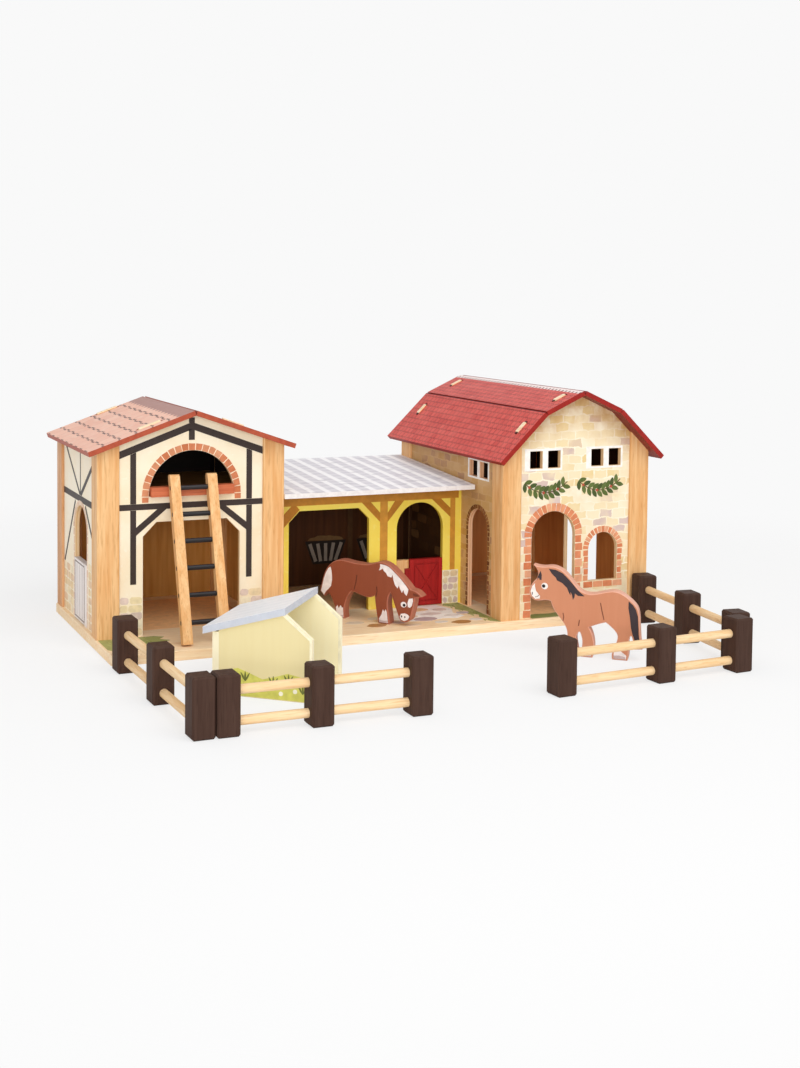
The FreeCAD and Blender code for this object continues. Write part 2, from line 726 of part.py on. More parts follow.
def half_door(label, opening, height, stile_width, x, y, turn, braced):
    """A stile in the opening, a leaf that turns on it, and the pin through their knuckles."""
    radius, slack = size("door_thick") / 2, size("hinge_play")
    knuckle, bore = size("knuckle_height"), size("hinge_pin_radius") + size("hinge_bore_play")
    axis = stile_width + slack + radius
    leaf_start = axis + radius + slack
    leaf_end = opening - size("door_play")
    foot = size("door_play")

    stile = new_body(f"{label}_stile")
    pad(stile, "plan", [rectangle(ZERO, -radius, stile_width, radius)], height)
    pad(stile, "plan", [barrel(axis, radius, stile_width)], knuckle)
    pad(stile, "plan", [barrel(axis, radius, stile_width)], knuckle, height - knuckle)
    cut_through(stile, "plan", [(axis, ZERO, bore)])

    leaf = new_body(f"{label}_leaf")
    pad(leaf, "plan", [rectangle(leaf_start, -radius, leaf_end, radius)], height - foot, foot)
    pad(leaf, "plan", [barrel(axis, radius, leaf_start)], height - (knuckle + slack) * 2, knuckle + slack)
    cut_through(leaf, "plan", [(axis, ZERO, bore)])
    if braced:
        engrave_brace(leaf, leaf_start, leaf_end, foot, height, radius)

    pin = new_body(f"{label}_pin")
    pad(pin, "plan", [(axis, ZERO, size("hinge_pin_radius"))], height)
    for piece in (stile, leaf, pin):
        place(piece, x, y, floor, UP if turn else None, turn)


def engrave_brace(leaf, left, right, low, high, face):
    """Shallow grooves on both faces of a leaf: a frame, and a cross inside it."""
    inset, width = size("brace_inset"), size("brace_groove_width")
    inner = inset + width
    frame = [rectangle(left + inset, low + inset, right - inset, high - inset),
             rectangle(left + inner, low + inner, right - inner, high - inner)]
    crosses = []
    for start, end in ((left + inset, right - inset), (right - inset, left + inset)):
        step = width if start.number < end.number else -width
        crosses.append([[(start, low + inset), (start + step, low + inset),
                         (end, high - inset), (end - step, high - inset)]])
    for level, onward in ((face, False), (-face, True)):
        for loops in (frame, *crosses):
            cut_blind(leaf, "front", loops, size("brace_groove_depth"), level, onward)


def round_bar(name, radius, length, x, y, z, axis, turn):
    """One dowel lying along X or standing, as a member of a group."""
    bar = doc.addObject("Part::Cylinder", name)
    bar.setExpression("Radius", radius.formula)
    bar.setExpression("Height", length.formula)
    place(bar, x, y, z, axis, turn)
    return bar


def group(label, members):
    compound = doc.addObject("Part::Compound", label)
    compound.Label = label
    compound.Links = members
    return compound


def build_ladder():
    """Two stringers with round tops, leaning on the loft sill, and their dowel rungs."""
    depth = size("stringer_depth")
    width, across = size("ladder_width"), size("stringer_width")
    rise = size("loft_height") + size("sill_height")
    lean = size("ladder_reach") / rise
    length = rise * (lean * lean + ONE).root() + size("ladder_past_sill")
    step = (length - size("rung_first") - size("rung_top")) / (RUNG_COUNT - 1)
    rungs = [size("rung_first") + step * count for count in range(RUNG_COUNT)]
    holes = [(-depth / 2, rung, size("rung_radius") + size("rung_play")) for rung in rungs]
    tip = length - depth / 2
    outline = [(-depth, ZERO), (ZERO, ZERO), (ZERO, tip), Arc(-depth / 2, tip, depth / 2, True), (-depth, tip)]
    left = tower_left + tower_width / 2 - size("ladder_offset") - width / 2
    foot = tower_front + recess - size("sill_proud") - size("ladder_gap") - size("ladder_reach")
    for side, x in (("left", left), ("right", left + width - across)):
        stringer = new_body(f"ladder_stringer_{side}")
        pad(stringer, "side", [outline, *holes], across)
        place(stringer, x, foot, floor, -ALONG_X, lean.steepness())
    inset = size("rung_inset")
    bars = [round_bar(f"rung_{count}", size("rung_radius"), width - inset * 2, inset, -depth / 2, rung,
                      ALONG_Y, QUARTER) for count, rung in enumerate(rungs)]
    place(group("ladder_rungs", bars), left, foot, floor, -ALONG_X, lean.steepness())


def build_fences():
    """Four free-standing sections: along both sides of the yard and along its front."""
    yard, side = size("yard_depth"), size("fence_side")
    sections = {
        "a": (base_left - size("fence_a_left"), -size("fence_a_front"), yard - size("fence_a_front") - side),
        "b": (base_left + size("fence_b_in"), -yard, size("fence_b_far")),
        "c": (base_right - size("fence_c_in"), -size("fence_c_front"), yard - size("fence_c_short")),
        "d": (base_right - size("fence_d_in"), size("fence_d_back") - yard, size("fence_d_far")),
    }
    for letter, (x, y, far) in sections.items():
        build_fence(letter, x, base_front + y, far)


def build_fence(letter, x, y, far):
    """One section: three bevelled posts on two dowel rails."""
    side, height, seat = size("fence_side"), size("fence_height"), size("rail_seat")
    near = size(f"fence_{letter}_near")
    heights = [size("rail_low"), size("rail_high")]
    holes = [(side / 2, level, size("rail_radius") + size("rail_play")) for level in heights]
    turn = size(f"fence_{letter}_turn")
    for name, start in (("first", ZERO), ("middle", near), ("last", far)):
        body = new_body(f"fence_{letter}_post_{name}")
        block = pad(body, "plan", [rectangle(start, ZERO, start + side, side)], height)
        bevel = body.newObject("PartDesign::Chamfer", f"{body.Label}_bevel")
        bevel.Base = (block, [f"Edge{count}" for count in range(1, 13)])
        bevel.setExpression("Size", size("fence_bevel").formula)
        if name == "middle":
            cut_through(body, "side", holes)
        elif name == "first":
            cut_blind(body, "side", holes, seat, side, False)
        else:
            cut_blind(body, "side", holes, seat, start, True)
        place(body, x, y, ZERO, UP, turn)
    end_gap = size("rail_play")
    start = side - seat + end_gap
    bars = [round_bar(f"fence_{letter}_bar_{count}", size("rail_radius"), far + seat - end_gap - start,
                      start, side / 2, level, ALONG_Y, QUARTER) for count, level in enumerate(heights)]
    place(group(f"fence_{letter}_rails", bars), x, y, ZERO, UP, turn)


def build_shelter():
    """A small open-sided shelter: a side wall, two uneven gables and a board on the long slope."""
    width, depth, thick = size("shelter_width"), size("shelter_depth"), size("shelter_wall")
    side, eave = size("shelter_side_wall"), size("shelter_eave")
    peak, top = size("shelter_peak_place"), size("shelter_peak_height")
    slope = (top - eave) / peak
    x, y, turn = base_left + size("shelter_in"), base_front - size("shelter_front"), size("shelter_turn")
    flank = new_body("shelter_wall_side")
    pad(flank, "plan", [rectangle(ZERO, ZERO, side, depth)], eave)
    gable = [(side, ZERO), (width, ZERO), (width, eave), (peak, top), (side, eave + slope * side)]
    pieces = [flank]
    for name, level in (("front", ZERO), ("back", depth - thick)):
        body = new_body(f"shelter_gable_{name}")
        pad(body, "front", [gable], thick, -level)
        pieces.append(body)
    reach, end = size("shelter_roof_eave"), size("shelter_roof_end")
    cover = new_body("shelter_roof")
    lower, rise = eave - slope * reach, size("shelter_roof_thick") * (slope * slope + ONE).root()
    pad(cover, "front", [[(-reach, lower), (peak, top), (peak, top + rise), (-reach, lower + rise)]],
        depth + end * 2, end)
    pieces.append(cover)
    for piece in pieces:
        place(piece, x, y, ZERO, UP, turn)


def sawn_horse(label, outline_shares, foot_share, x, y, z, turn, length, height):
    """A horse sawn from a thick board along a smooth outline."""
    def point(share):
        return Vector((share[0] - foot_share) * length.number, 0, share[1] * height.number)
    edges = []
    for stretch in outline_shares:
        points = [point(share) for share in stretch]
        if len(points) == 2:
            edges.append(Part.LineSegment(*points).toShape())
        else:
            curve = Part.BSplineCurve()
            curve.interpolate(points)
            edges.append(curve.toShape())
    horse = doc.addObject("Part::Feature", label)
    horse.Label = label
    board = Part.Face(Part.Wire(edges)).extrude(ALONG_Y * size("horse_thick").number)
    rims = [edge for face in board.Faces if abs(face.normalAt(0, 0).y) > 0.5 for edge in face.Edges]
    horse.Shape = board.makeChamfer(size("horse_bevel").number, rims)
    place(horse, x, y, z, UP, turn)


def build_horses():
    sawn_horse("horse_mare", MARE_OUTLINE_SHARES, MARE_FOOT_SHARE, tower_right + size("mare_in"),
               base_front + size("mare_back"), floor, size("mare_turn"), size("mare_length"), size("mare_height"))
    sawn_horse("horse_foal", FOAL_OUTLINE_SHARES, FOAL_FOOT_SHARE, base_right - size("foal_in"),
               base_front - size("foal_front"), ZERO, size("foal_turn"), size("foal_length"), size("foal_height"))


def sub_parts():
    kinds = ("PartDesign::Body", "Part::Compound")
    return [item for item in doc.Objects if item.TypeId in kinds or item.TypeId == "Part::Feature"]


def check_model():
    """Stops if any object failed, any shape is empty or unsound, or any cut took nothing away."""
    for item in doc.Objects:
        if {"Invalid", "Error"} & set(item.State):
            raise RuntimeError(f"{item.Label} failed: {item.State}")
        if item.TypeId == "PartDesign::Pocket" and item.Shape.Volume >= item.BaseFeature.Shape.Volume:
            raise RuntimeError(f"{item.Label} cuts nothing")
    for part in sub_parts():
        if part.Shape.isNull() or not part.Shape.isValid() or part.Shape.Volume <= 0:
            raise RuntimeError(f"{part.Label} has no sound shape")


build_base()
build_tower()
build_stable()
build_barn()
build_ladder()
build_fences()
build_shelter()
build_horses()
doc.recompute()
check_model()

os.makedirs("parts", exist_ok=True)
for part in sub_parts():
    part.Shape.exportStep(f"parts/{part.Label}.step")
    box = part.Shape.BoundBox
    print(f"{part.Label:26s} {len(part.Shape.Solids)} solid(s)  {part.Shape.Volume / 1000:9.2f} cm3  "
          f"x {box.XMin:7.1f} {box.XMax:7.1f}  y {box.YMin:7.1f} {box.YMax:7.1f}  z {box.ZMin:6.1f} {box.ZMax:6.1f}")
print(len(sub_parts()), "sub-parts")
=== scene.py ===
# %% [markdown]
# # A toy stable, dressed piece by piece
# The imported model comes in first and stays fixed. It already has the right shapes: boards, posts, dowels and two
# sawn horses. What it lacks is everything a child sees first, the wood, the lacquer and the printed pictures.
# This lesson adds those, one surface at a time.

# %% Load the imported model
import math
import random
from collections import namedtuple

import bpy
from mathutils import Matrix, Vector


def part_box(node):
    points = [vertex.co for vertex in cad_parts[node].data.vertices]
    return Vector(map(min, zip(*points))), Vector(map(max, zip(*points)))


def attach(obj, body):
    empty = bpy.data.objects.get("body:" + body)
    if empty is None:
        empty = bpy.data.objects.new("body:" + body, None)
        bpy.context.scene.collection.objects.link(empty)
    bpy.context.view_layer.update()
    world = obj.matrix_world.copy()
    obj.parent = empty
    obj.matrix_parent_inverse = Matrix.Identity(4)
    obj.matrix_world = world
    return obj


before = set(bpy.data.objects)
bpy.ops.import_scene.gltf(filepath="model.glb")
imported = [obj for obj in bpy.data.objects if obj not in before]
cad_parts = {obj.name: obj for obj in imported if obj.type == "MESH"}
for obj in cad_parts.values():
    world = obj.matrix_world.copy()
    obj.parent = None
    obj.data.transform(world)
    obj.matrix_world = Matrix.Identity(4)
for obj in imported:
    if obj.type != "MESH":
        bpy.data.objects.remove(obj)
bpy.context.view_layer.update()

# %% [markdown]
# ## Small tools for every finish
# Colours are written the way a paint shop writes them, as sRGB hex, and one function turns them to the linear values
# that the shader works in. A second function adds a node, sets it and links it, so that each finish below reads as a
# recipe from top to bottom. Inputs are given by name, or as a list in the order of the node's sockets.

# %% Colour and node tools
MM = 0.001


def linear(code):
    """The linear RGBA of an sRGB hex code."""
    parts = [int(code[i:i + 2], 16) / 255 for i in (1, 3, 5)]
    return (*[p / 12.92 if p <= 0.04045 else ((p + 0.055) / 1.055) ** 2.4 for p in parts], 1.0)


def feed(tree, node, inputs):
    """Sets or links a node's inputs. An input is a value, a socket, or a node whose first live output is linked."""
    for name, value in inputs.items() if isinstance(inputs, dict) else enumerate(inputs):
        live = (s for s in node.inputs if s.enabled and s.name == name)
        socket = node.inputs[name] if isinstance(name, int) else next(live)
        if isinstance(value, bpy.types.Node):
            value = next(s for s in value.outputs if s.enabled)
        if isinstance(value, bpy.types.NodeSocket):
            tree.links.new(value, socket)
        else:
            socket.default_value = linear(value) if isinstance(value, str) else value


def add(tree, kind, inputs=(), stops=(), **settings):
    """Adds one shader node with its settings, its inputs and, on a ramp, its colour stops."""
    node = tree.nodes.new("ShaderNode" + kind)
    for name, value in settings.items():
        setattr(node, name, value)
    feed(tree, node, inputs)
    for number, (place, code) in enumerate(stops):
        ramp = node.color_ramp.elements
        stop = ramp[number] if number < len(ramp) else ramp.new(place)
        stop.position = place
        stop.color = linear(code)
    return node


def new_finish(name, **constants):
    """A material with one shader, whose constants are set on the shader's own sockets."""
    finish = bpy.data.materials.new(name)
    finish.use_nodes = True
    tree = finish.node_tree
    tree.nodes.clear()
    shader = add(tree, "BsdfPrincipled", {k.replace("_", " "): v for k, v in constants.items()})
    add(tree, "OutputMaterial", {"Surface": shader})
    return finish, tree, shader


def dress(finish, *names):
    """Gives CAD nodes their finish."""
    for name in names:
        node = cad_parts[name]
        node.data.materials.clear()
        node.data.materials.append(finish)
    print(finish.name, "on", len(names), "nodes")


# %% [markdown]
# ## Beech under satin lacquer
# The posts, rails and stringers are planed beech. Beech is pale and even, with a soft streak every few millimetres
# and short dark flecks along the grain. Stretched noise gives the streaks, and a finer one the flecks.
# The lacquer gives a broad, soft highlight, so roughness sits near 0.45.

# %% Wood grain
GRAIN_STRETCH = 0.06
STREAK_MM = 5.0
# real flecks are about 0.3 mm wide, too fine to show, so they are drawn at 1.1 mm
FLECK_MM = 1.1
# a satin skin mirrors little of the pale room, so its specular level is half the usual one
SATIN = {"IOR": 1.5, "Specular_IOR_Level": 0.25}
GRAIN_AXES = {"x": (GRAIN_STRETCH, 1, 1), "y": (1, GRAIN_STRETCH, 1), "z": (1, 1, GRAIN_STRETCH)}


def grain(tree, along):
    """Two noises stretched along the grain: broad streaks and fine flecks."""
    place = add(tree, "TexCoord").outputs["Object"]
    fibre = add(tree, "VectorMath", [place, GRAIN_AXES[along]], operation="MULTIPLY")
    streak = add(tree, "TexNoise", {"Vector": fibre, "Scale": 1 / (STREAK_MM * MM), "Detail": 3.0,
                                    "Roughness": 0.55, "Distortion": 0.4})
    fleck = add(tree, "TexNoise", {"Vector": fibre, "Scale": 1 / (FLECK_MM * MM), "Detail": 2.0})
    return streak, fleck


def coat(tree, shader, skin, pattern, rough, fleck, strength, deep_mm):
    """Feeds the shader its colour, a roughness that follows a pattern, and the fine relief of the flecks."""
    gloss = add(tree, "MapRange", [pattern, 0.0, 1.0, *rough])
    relief = add(tree, "Bump", {"Height": fleck, "Strength": strength, "Distance": deep_mm * MM})
    feed(tree, shader, {"Base Color": skin, "Roughness": gloss, "Normal": relief})


def lacquered_wood(name, pale, middle, dark, along, roughness=0.45, shine=SATIN):
    """Planed wood: streaks between two tones, darker flecks, and a satin gloss that follows the grain a little."""
    finish, tree, shader = new_finish(name, **shine)
    streak, fleck = grain(tree, along)
    tone = add(tree, "ValToRGB", {"Fac": streak}, stops=[(0.32, pale), (0.66, middle)])
    mark = add(tree, "MapRange", [fleck, 0.54, 0.72, 0.0, 0.6])
    skin = add(tree, "Mix", {"Factor": mark, "A": tone, "B": dark}, data_type="RGBA")
    coat(tree, shader, skin, streak, (roughness - 0.07, roughness + 0.09), fleck, 0.12, 0.15)
    return finish


# %% Beech posts, rails and stringers
BEECH = ("#EFC48E", "#E0A568", "#C58A4E")
PALE_BEECH = ("#F3D6AB", "#E8C08C", "#D2A26C")
upright_beech = lacquered_wood("beech_lacquered_upright", *BEECH, "z")
lengthwise_beech = lacquered_wood("beech_pale_lengthwise", *PALE_BEECH, "x")
crosswise_beech = lacquered_wood("beech_pale_crosswise", *PALE_BEECH, "y")
CORNERS = ("front_left", "front_right", "back_left", "back_right")
posts = [f"{house}_post_{corner}" for house in ("tower", "barn") for corner in CORNERS]
posts.remove("tower_post_back_left")
dress(upright_beech, *posts, "stall_door_stile", "ladder_stringer_left", "ladder_stringer_right")
# one post gets browner tones, painted shade where the front post shades it
dress(lacquered_wood("beech_lacquered_shaded", "#DDAA7C", "#CB905E", "#AE7442", "z"), "tower_post_back_left")
dress(lengthwise_beech, "fence_b_rails", "fence_d_rails")
dress(crosswise_beech, "fence_a_rails", "fence_c_rails")

# %% [markdown]
# The fence posts are the same beech, stained almost black-brown, so the grain only just shows.
# The rungs are dowels in black gloss paint, which hides the grain and throws a sharper highlight.

# %% Stained posts and black rungs
# stain soaks in and leaves hardly any skin to shine
DULL = {"IOR": 1.5, "Specular_IOR_Level": 0.1}
stained_beech = lacquered_wood("beech_stained_dark", "#4B362D", "#412D25", "#34231C", "z", 0.55, DULL)
dress(stained_beech, *[f"fence_{f}_post_{place}" for f in "abcd" for place in ("first", "middle", "last")])
black_gloss = lacquered_wood("dowel_black_gloss", "#2E2A2C", "#221F21", "#171516", "x", roughness=0.34)
dress(black_gloss, "ladder_rungs")

# %% [markdown]
# The hinge pins are cut from drawn steel rod. Drawing leaves fine lines along it, so the gloss follows the streaks.

# %% Steel pins
pin_steel, tree, shader = new_finish("steel_drawn_pin", Metallic=1.0)
drawn, scratch = grain(tree, "z")
pin_tone = add(tree, "ValToRGB", {"Fac": scratch}, stops=[(0.3, "#C9CACC"), (0.7, "#A9ABAE")])
pin_gloss = add(tree, "MapRange", [drawn, 0.0, 1.0, 0.25, 0.4])
feed(tree, shader, {"Base Color": pin_tone, "Roughness": pin_gloss})
dress(pin_steel, "stall_door_pin", "side_door_pin")

# %% [markdown]
# ## Printed plywood
# The walls are thin plywood, printed on one face. So one board shows three finishes: the print outside, brown stained
# wood inside, and the bare plies on its sawn edges. A mask made from the surface's own direction picks between them.
# It reads the part's axes, not the camera, so it holds from every side.

# %% Face masks and the plywood edge
PLY_MM = 1.4
BARE_PLY = ("#F6D8AC", "#EBC28C")


def facing(tree, direction, least=0.8):
    """1 where the surface looks along a direction of the part's own axes, else 0."""
    normal = add(tree, "TexCoord").outputs["Normal"]
    turn = add(tree, "VectorMath", [normal, direction], operation="DOT_PRODUCT")
    return add(tree, "Math", [turn, least], operation="GREATER_THAN")


def printed_board(name, outward, outside, inside, edge=BARE_PLY, roughness=0.46):
    """Plywood whose outside is a function that draws the print, with a stained inside and bare edges."""
    finish, tree, shader = new_finish(name, **SATIN)
    streak, fleck = grain(tree, "z")
    back = add(tree, "ValToRGB", {"Fac": streak}, stops=[(0.3, inside[0]), (0.7, inside[1])])
    place = add(tree, "TexCoord").outputs["Object"]
    depth = add(tree, "VectorMath", [place, outward], operation="DOT_PRODUCT")
    plies = add(tree, "Math", [depth, PLY_MM * MM], operation="PINGPONG")
    layer = add(tree, "Math", [plies, 0.5 * PLY_MM * MM], operation="GREATER_THAN")
    sawn = add(tree, "Mix", {"Factor": layer, "A": edge[0], "B": edge[1]}, data_type="RGBA")
    inward = tuple(-v for v in outward)
    wood = add(tree, "Mix", {"Factor": facing(tree, inward), "A": sawn, "B": back}, data_type="RGBA")
    skin = add(tree, "Mix", {"Factor": facing(tree, outward), "A": wood, "B": outside(tree)}, data_type="RGBA")
    coat(tree, shader, skin, streak, (roughness - 0.06, roughness + 0.08), fleck, 0.06, 0.12)
    return finish


# %% [markdown]
# The tower is printed like limewash: cream with clouds of a slightly warmer cream and pale worn spots.

# %% Limewash print of the tower
CLOUD_MM = 38.0
SPECK_MM = 5.0


def limewash(tree, pale, warm, worn):
    """Soft clouds between two tones, with small worn spots."""
    place = add(tree, "TexCoord").outputs["Object"]
    cloud = add(tree, "TexNoise", {"Vector": place, "Scale": 1 / (CLOUD_MM * MM), "Detail": 4.0})
    speck = add(tree, "TexNoise", {"Vector": place, "Scale": 1 / (SPECK_MM * MM), "Detail": 2.0})
    tone = add(tree, "ValToRGB", {"Fac": cloud}, stops=[(0.38, pale), (0.68, warm)])
    spot = add(tree, "MapRange", [speck, 0.6, 0.75, 0.0, 0.5])
    return add(tree, "Mix", {"Factor": spot, "A": tone, "B": worn}, data_type="RGBA")


FRONT, BACK, LEFT, RIGHT, TOP = (0, -1, 0), (0, 1, 0), (-1, 0, 0), (1, 0, 0), (0, 0, 1)
SIDES = {"front": FRONT, "back": BACK, "left": LEFT, "right": RIGHT}
BROWN_INSIDE = ("#DEA55A", "#C98D42")
TOWER_TONES = ("#F5E8CE", "#F0DDBB", "#F9F0DF")
# the left wall gets paler tones than the others, painted light that brightens this side
TOWER_LEFT_LIT_TONES = ("#FFF4DE", "#FCEBCD", "#FFF9EC")
for side, outward in SIDES.items():
    tones = TOWER_LEFT_LIT_TONES if side == "left" else TOWER_TONES
    dress(printed_board(f"plywood_limewash_print_{side}", outward,
                        lambda tree, tones=tones: limewash(tree, *tones), BROWN_INSIDE), f"tower_wall_{side}")

# %% [markdown]
# The barn is printed as rough stonework under thin limewash. A brick pattern lays the rows, and a little noise added
# to the place first makes every stone crooked. The pattern is asked for black and white only, so that it gives each
# stone a random grey. A ramp then turns that grey into mauve, ochre or cream. Where a slow noise is high, limewash
# hides them.

# %% Place on a board, in millimetres
def board_place(tree, start, along, down):
    """A point's place on a board in millimetres, measured from start along two directions."""
    place = add(tree, "TexCoord").outputs["Object"]
    offset = add(tree, "VectorMath", [place, start], operation="SUBTRACT")
    across = add(tree, "VectorMath", [offset, [c / MM for c in along]], operation="DOT_PRODUCT")
    fall = add(tree, "VectorMath", [offset, [c / MM for c in down]], operation="DOT_PRODUCT")
    return across, fall


# %% Stonework of the barn
STONE_WIDE, STONE_TALL, STONE_JOINT, STONE_WOBBLE = 16.0, 8.6, 0.8, 7.0
WOBBLE_MM, LIME_MM = 11.0, 26.0
STONE_RAMP = [(0.0, "#CDB4AC"), (0.16, "#D8C2BA"), (0.22, "#E6CB90"), (0.45, "#EDD9AA"), (0.7, "#F3E5C4"),
              (1.0, "#F8EFDA")]


def stonework(tree, along, lime):
    """Crooked stones in rows that show through limewash in places."""
    across, rise = board_place(tree, (0, 0, 0), along, TOP)
    flat = add(tree, "CombineXYZ", {"X": across, "Y": rise})
    shake = add(tree, "TexNoise", {"Vector": flat, "Scale": 1 / WOBBLE_MM, "Detail": 3.0}).outputs["Color"]
    centred = add(tree, "VectorMath", [shake, (0.5, 0.5, 0.5)], operation="SUBTRACT")
    crooked = add(tree, "VectorMath", [centred, (STONE_WOBBLE, STONE_WOBBLE, 0), flat], operation="MULTIPLY_ADD")
    laid = add(tree, "TexBrick", {
        "Vector": crooked, "Color1": "#000000", "Color2": "#FFFFFF", "Mortar": "#FFFFFF", "Scale": 1.0,
        "Mortar Size": STONE_JOINT, "Mortar Smooth": 0.5, "Brick Width": STONE_WIDE, "Row Height": STONE_TALL})
    stone = add(tree, "ValToRGB", {"Fac": laid}, stops=STONE_RAMP)
    slow = add(tree, "TexNoise", {"Vector": flat, "Scale": 1 / LIME_MM, "Detail": 3.0})
    hidden = add(tree, "MapRange", [slow, 0.42, 0.64, 0.05, 0.8])
    return add(tree, "Mix", {"Factor": hidden, "A": stone, "B": lime}, data_type="RGBA")


# %% [markdown]
# Under the roof the print is browned: partly a browner print, partly painted shade under the roof's overhang. For that
# the finish needs each point's distance below the roof line. On the gables that line has two slopes, and the lower of
# the two counts. On the sides it is one level.

# %% Browning under the roof
BARN_MIDDLE, KNEE_Z, RIDGE_Z, BARN_SIDE_Z = 209.33, 225.5, 245.5, 184.5
# each slope of the barn roof: how far it runs out, and how far it falls on the way
BARN_LOW, BARN_HIGH = (52.0, 50.5), (44.5, 20.0)
LOW_STEEPNESS, HIGH_STEEPNESS = BARN_LOW[1] / BARN_LOW[0], BARN_HIGH[1] / BARN_HIGH[0]
LOW_RIDGE_Z = KNEE_Z + BARN_HIGH[0] * LOW_STEEPNESS
BROWNED_MM, EAVE_CLOUD_MM, GABLE_EAVE_SHADE, SIDE_EAVE_SHADE = 42.0, 11.0, 0.95, 0.5
EAVE_SHADE_BROWN = "#C28F4A"


def below_roof(tree, gable):
    """How far a point of the barn lies below the roof line, in metres."""
    part = add(tree, "SeparateXYZ", {"Vector": add(tree, "TexCoord").outputs["Object"]})
    if not gable:
        return add(tree, "Math", [BARN_SIDE_Z * MM, part.outputs["Z"]], operation="SUBTRACT")
    offset = add(tree, "Math", [part.outputs["X"], BARN_MIDDLE * MM], operation="SUBTRACT")
    out = add(tree, "Math", [offset], operation="ABSOLUTE")
    high = add(tree, "Math", [out, -HIGH_STEEPNESS, RIDGE_Z * MM], operation="MULTIPLY_ADD")
    low = add(tree, "Math", [out, -LOW_STEEPNESS, LOW_RIDGE_Z * MM], operation="MULTIPLY_ADD")
    roof = add(tree, "Math", [high, low], operation="MINIMUM")
    return add(tree, "Math", [roof, part.outputs["Z"]], operation="SUBTRACT")


def browned(gable, wash):
    """Stonework with a brown cloud of print and painted shade that fades out below the roof, tinted by a wash."""
    def outside(tree):
        lime = limewash(tree, "#F3E3C2", "#ECD6AC", "#F8EEDA")
        stones = stonework(tree, RIGHT if gable else BACK, lime)
        eave_shade = GABLE_EAVE_SHADE if gable else SIDE_EAVE_SHADE
        # brown near the roof line: part print, part painted shade of the overhang
        near = add(tree, "MapRange", [below_roof(tree, gable), 0.0, BROWNED_MM * MM, eave_shade, 0.0])
        place = add(tree, "TexCoord").outputs["Object"]
        cloud = add(tree, "TexNoise", {"Vector": place, "Scale": 1 / (EAVE_CLOUD_MM * MM), "Detail": 4.0})
        patchy = add(tree, "MapRange", [cloud, 0.3, 0.66, 0.35, 1.0])
        brown = add(tree, "Math", [near, patchy], operation="MULTIPLY")
        darker_stones = add(tree, "Mix", {"Factor": brown, "A": stones, "B": EAVE_SHADE_BROWN}, data_type="RGBA")
        return add(tree, "Mix", {"Factor": 1.0, "A": darker_stones, "B": wash}, data_type="RGBA",
                   blend_type="MULTIPLY")
    return outside


# the left wall stands beside the lean-to's roof; its wash and sawn edges are browner, partly print, partly painted
# shade
BARN_WASHES_AND_SHADE = {"left": "#DBBD9A"}
BARN_EDGES_AND_SHADE = {"left": ("#EDBE96", "#DDA880")}
BARN_INSIDE = ("#EAA35F", "#D68A48")
for side, outward in SIDES.items():
    print_face = browned(side in ("front", "back"), BARN_WASHES_AND_SHADE.get(side, "#FFFFFF"))
    dress(printed_board(f"plywood_stonework_print_{side}", outward, print_face, BARN_INSIDE,
                        BARN_EDGES_AND_SHADE.get(side, BARE_PLY)), f"barn_wall_{side}")

# %% [markdown]
# The lean-to between them is a plain warm yellow outside. Inside it is nearly black-brown, partly a dark print and
# partly painted shade, as a shaded stall.

# %% Yellow lean-to
def yellow_print(tree):
    return limewash(tree, "#FEE668", "#F9DB54", "#FFF192")


dress(printed_board("plywood_yellow_print_front", FRONT, yellow_print, ("#6B4424", "#54331A"),
                    edge=("#F0D24A", "#D9B23C")), "stable_wall_front")
dress(printed_board("plywood_brown_print_and_shade_back", BACK, yellow_print, ("#5C3419", "#482711")), "stable_wall_back")

# %% [markdown]
# ## Roof boards
# A roof print has to run with its slope, so its two directions are the eave and the fall of the roof. Tiles are then
# drawn in plain millimetres from the corner of the board.

# %% The roof finish
def roof_board(name, outward, tiles, edge, under, roughness=0.44):
    """A board with tiles printed on top, painted edges and a stained underside."""
    finish, tree, shader = new_finish(name, **SATIN)
    streak, fleck = grain(tree, "y")
    rim = add(tree, "ValToRGB", {"Fac": streak}, stops=[(0.3, edge[0]), (0.7, edge[1])])
    below = add(tree, "ValToRGB", {"Fac": streak}, stops=[(0.3, under[0]), (0.7, under[1])])
    inward = tuple(-v for v in outward)
    plain = add(tree, "Mix", {"Factor": facing(tree, inward), "A": rim, "B": below}, data_type="RGBA")
    skin = add(tree, "Mix", {"Factor": facing(tree, outward), "A": plain, "B": tiles(tree)}, data_type="RGBA")
    coat(tree, shader, skin, streak, (roughness - 0.06, roughness + 0.08), fleck, 0.08, 0.12)
    return finish


def pitch(run, fall, hand):
    """The outward and downhill directions of a slope that falls to the left (-1) or to the right (1)."""
    length = math.hypot(run, fall)
    return (hand * fall / length, 0, run / length), (hand * run / length, 0, -fall / length)


def ridge_corner(node, hand):
    """The front corner of a roof board at its upper edge, where the tiles start."""
    low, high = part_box(node)
    return high.x if hand < 0 else low.x, low.y, high.z


# %% [markdown]
# The barn roof is red with small staggered tiles, whose lower edges are cut in points. Their joints are only a little
# darker than the tiles, so from arm's length the roof reads as one red with a fine weave. The board edges are a
# cleaner, deeper red. The ridge is a narrow pale band, into which dark ticks reach up at even steps. The seam under
# the upper board is a dark line of painted shade.

# %% Red tiles of the barn
TILE_WIDE, TILE_TALL, TILE_JOINT, SCALLOP = 8.5, 7.2, 0.7, 0.8
PALE_RIDGE, TICK_PITCH, TICK_WIDE, TICK_TALL, SEAM_SHADE_MM = 8.0, 6.6, 2.2, 3.2, 3.4
FADED_MM = 16.0
RED_EDGE, RED_UNDER = ("#9E231A", "#8E1B14"), ("#8A342B", "#772821")


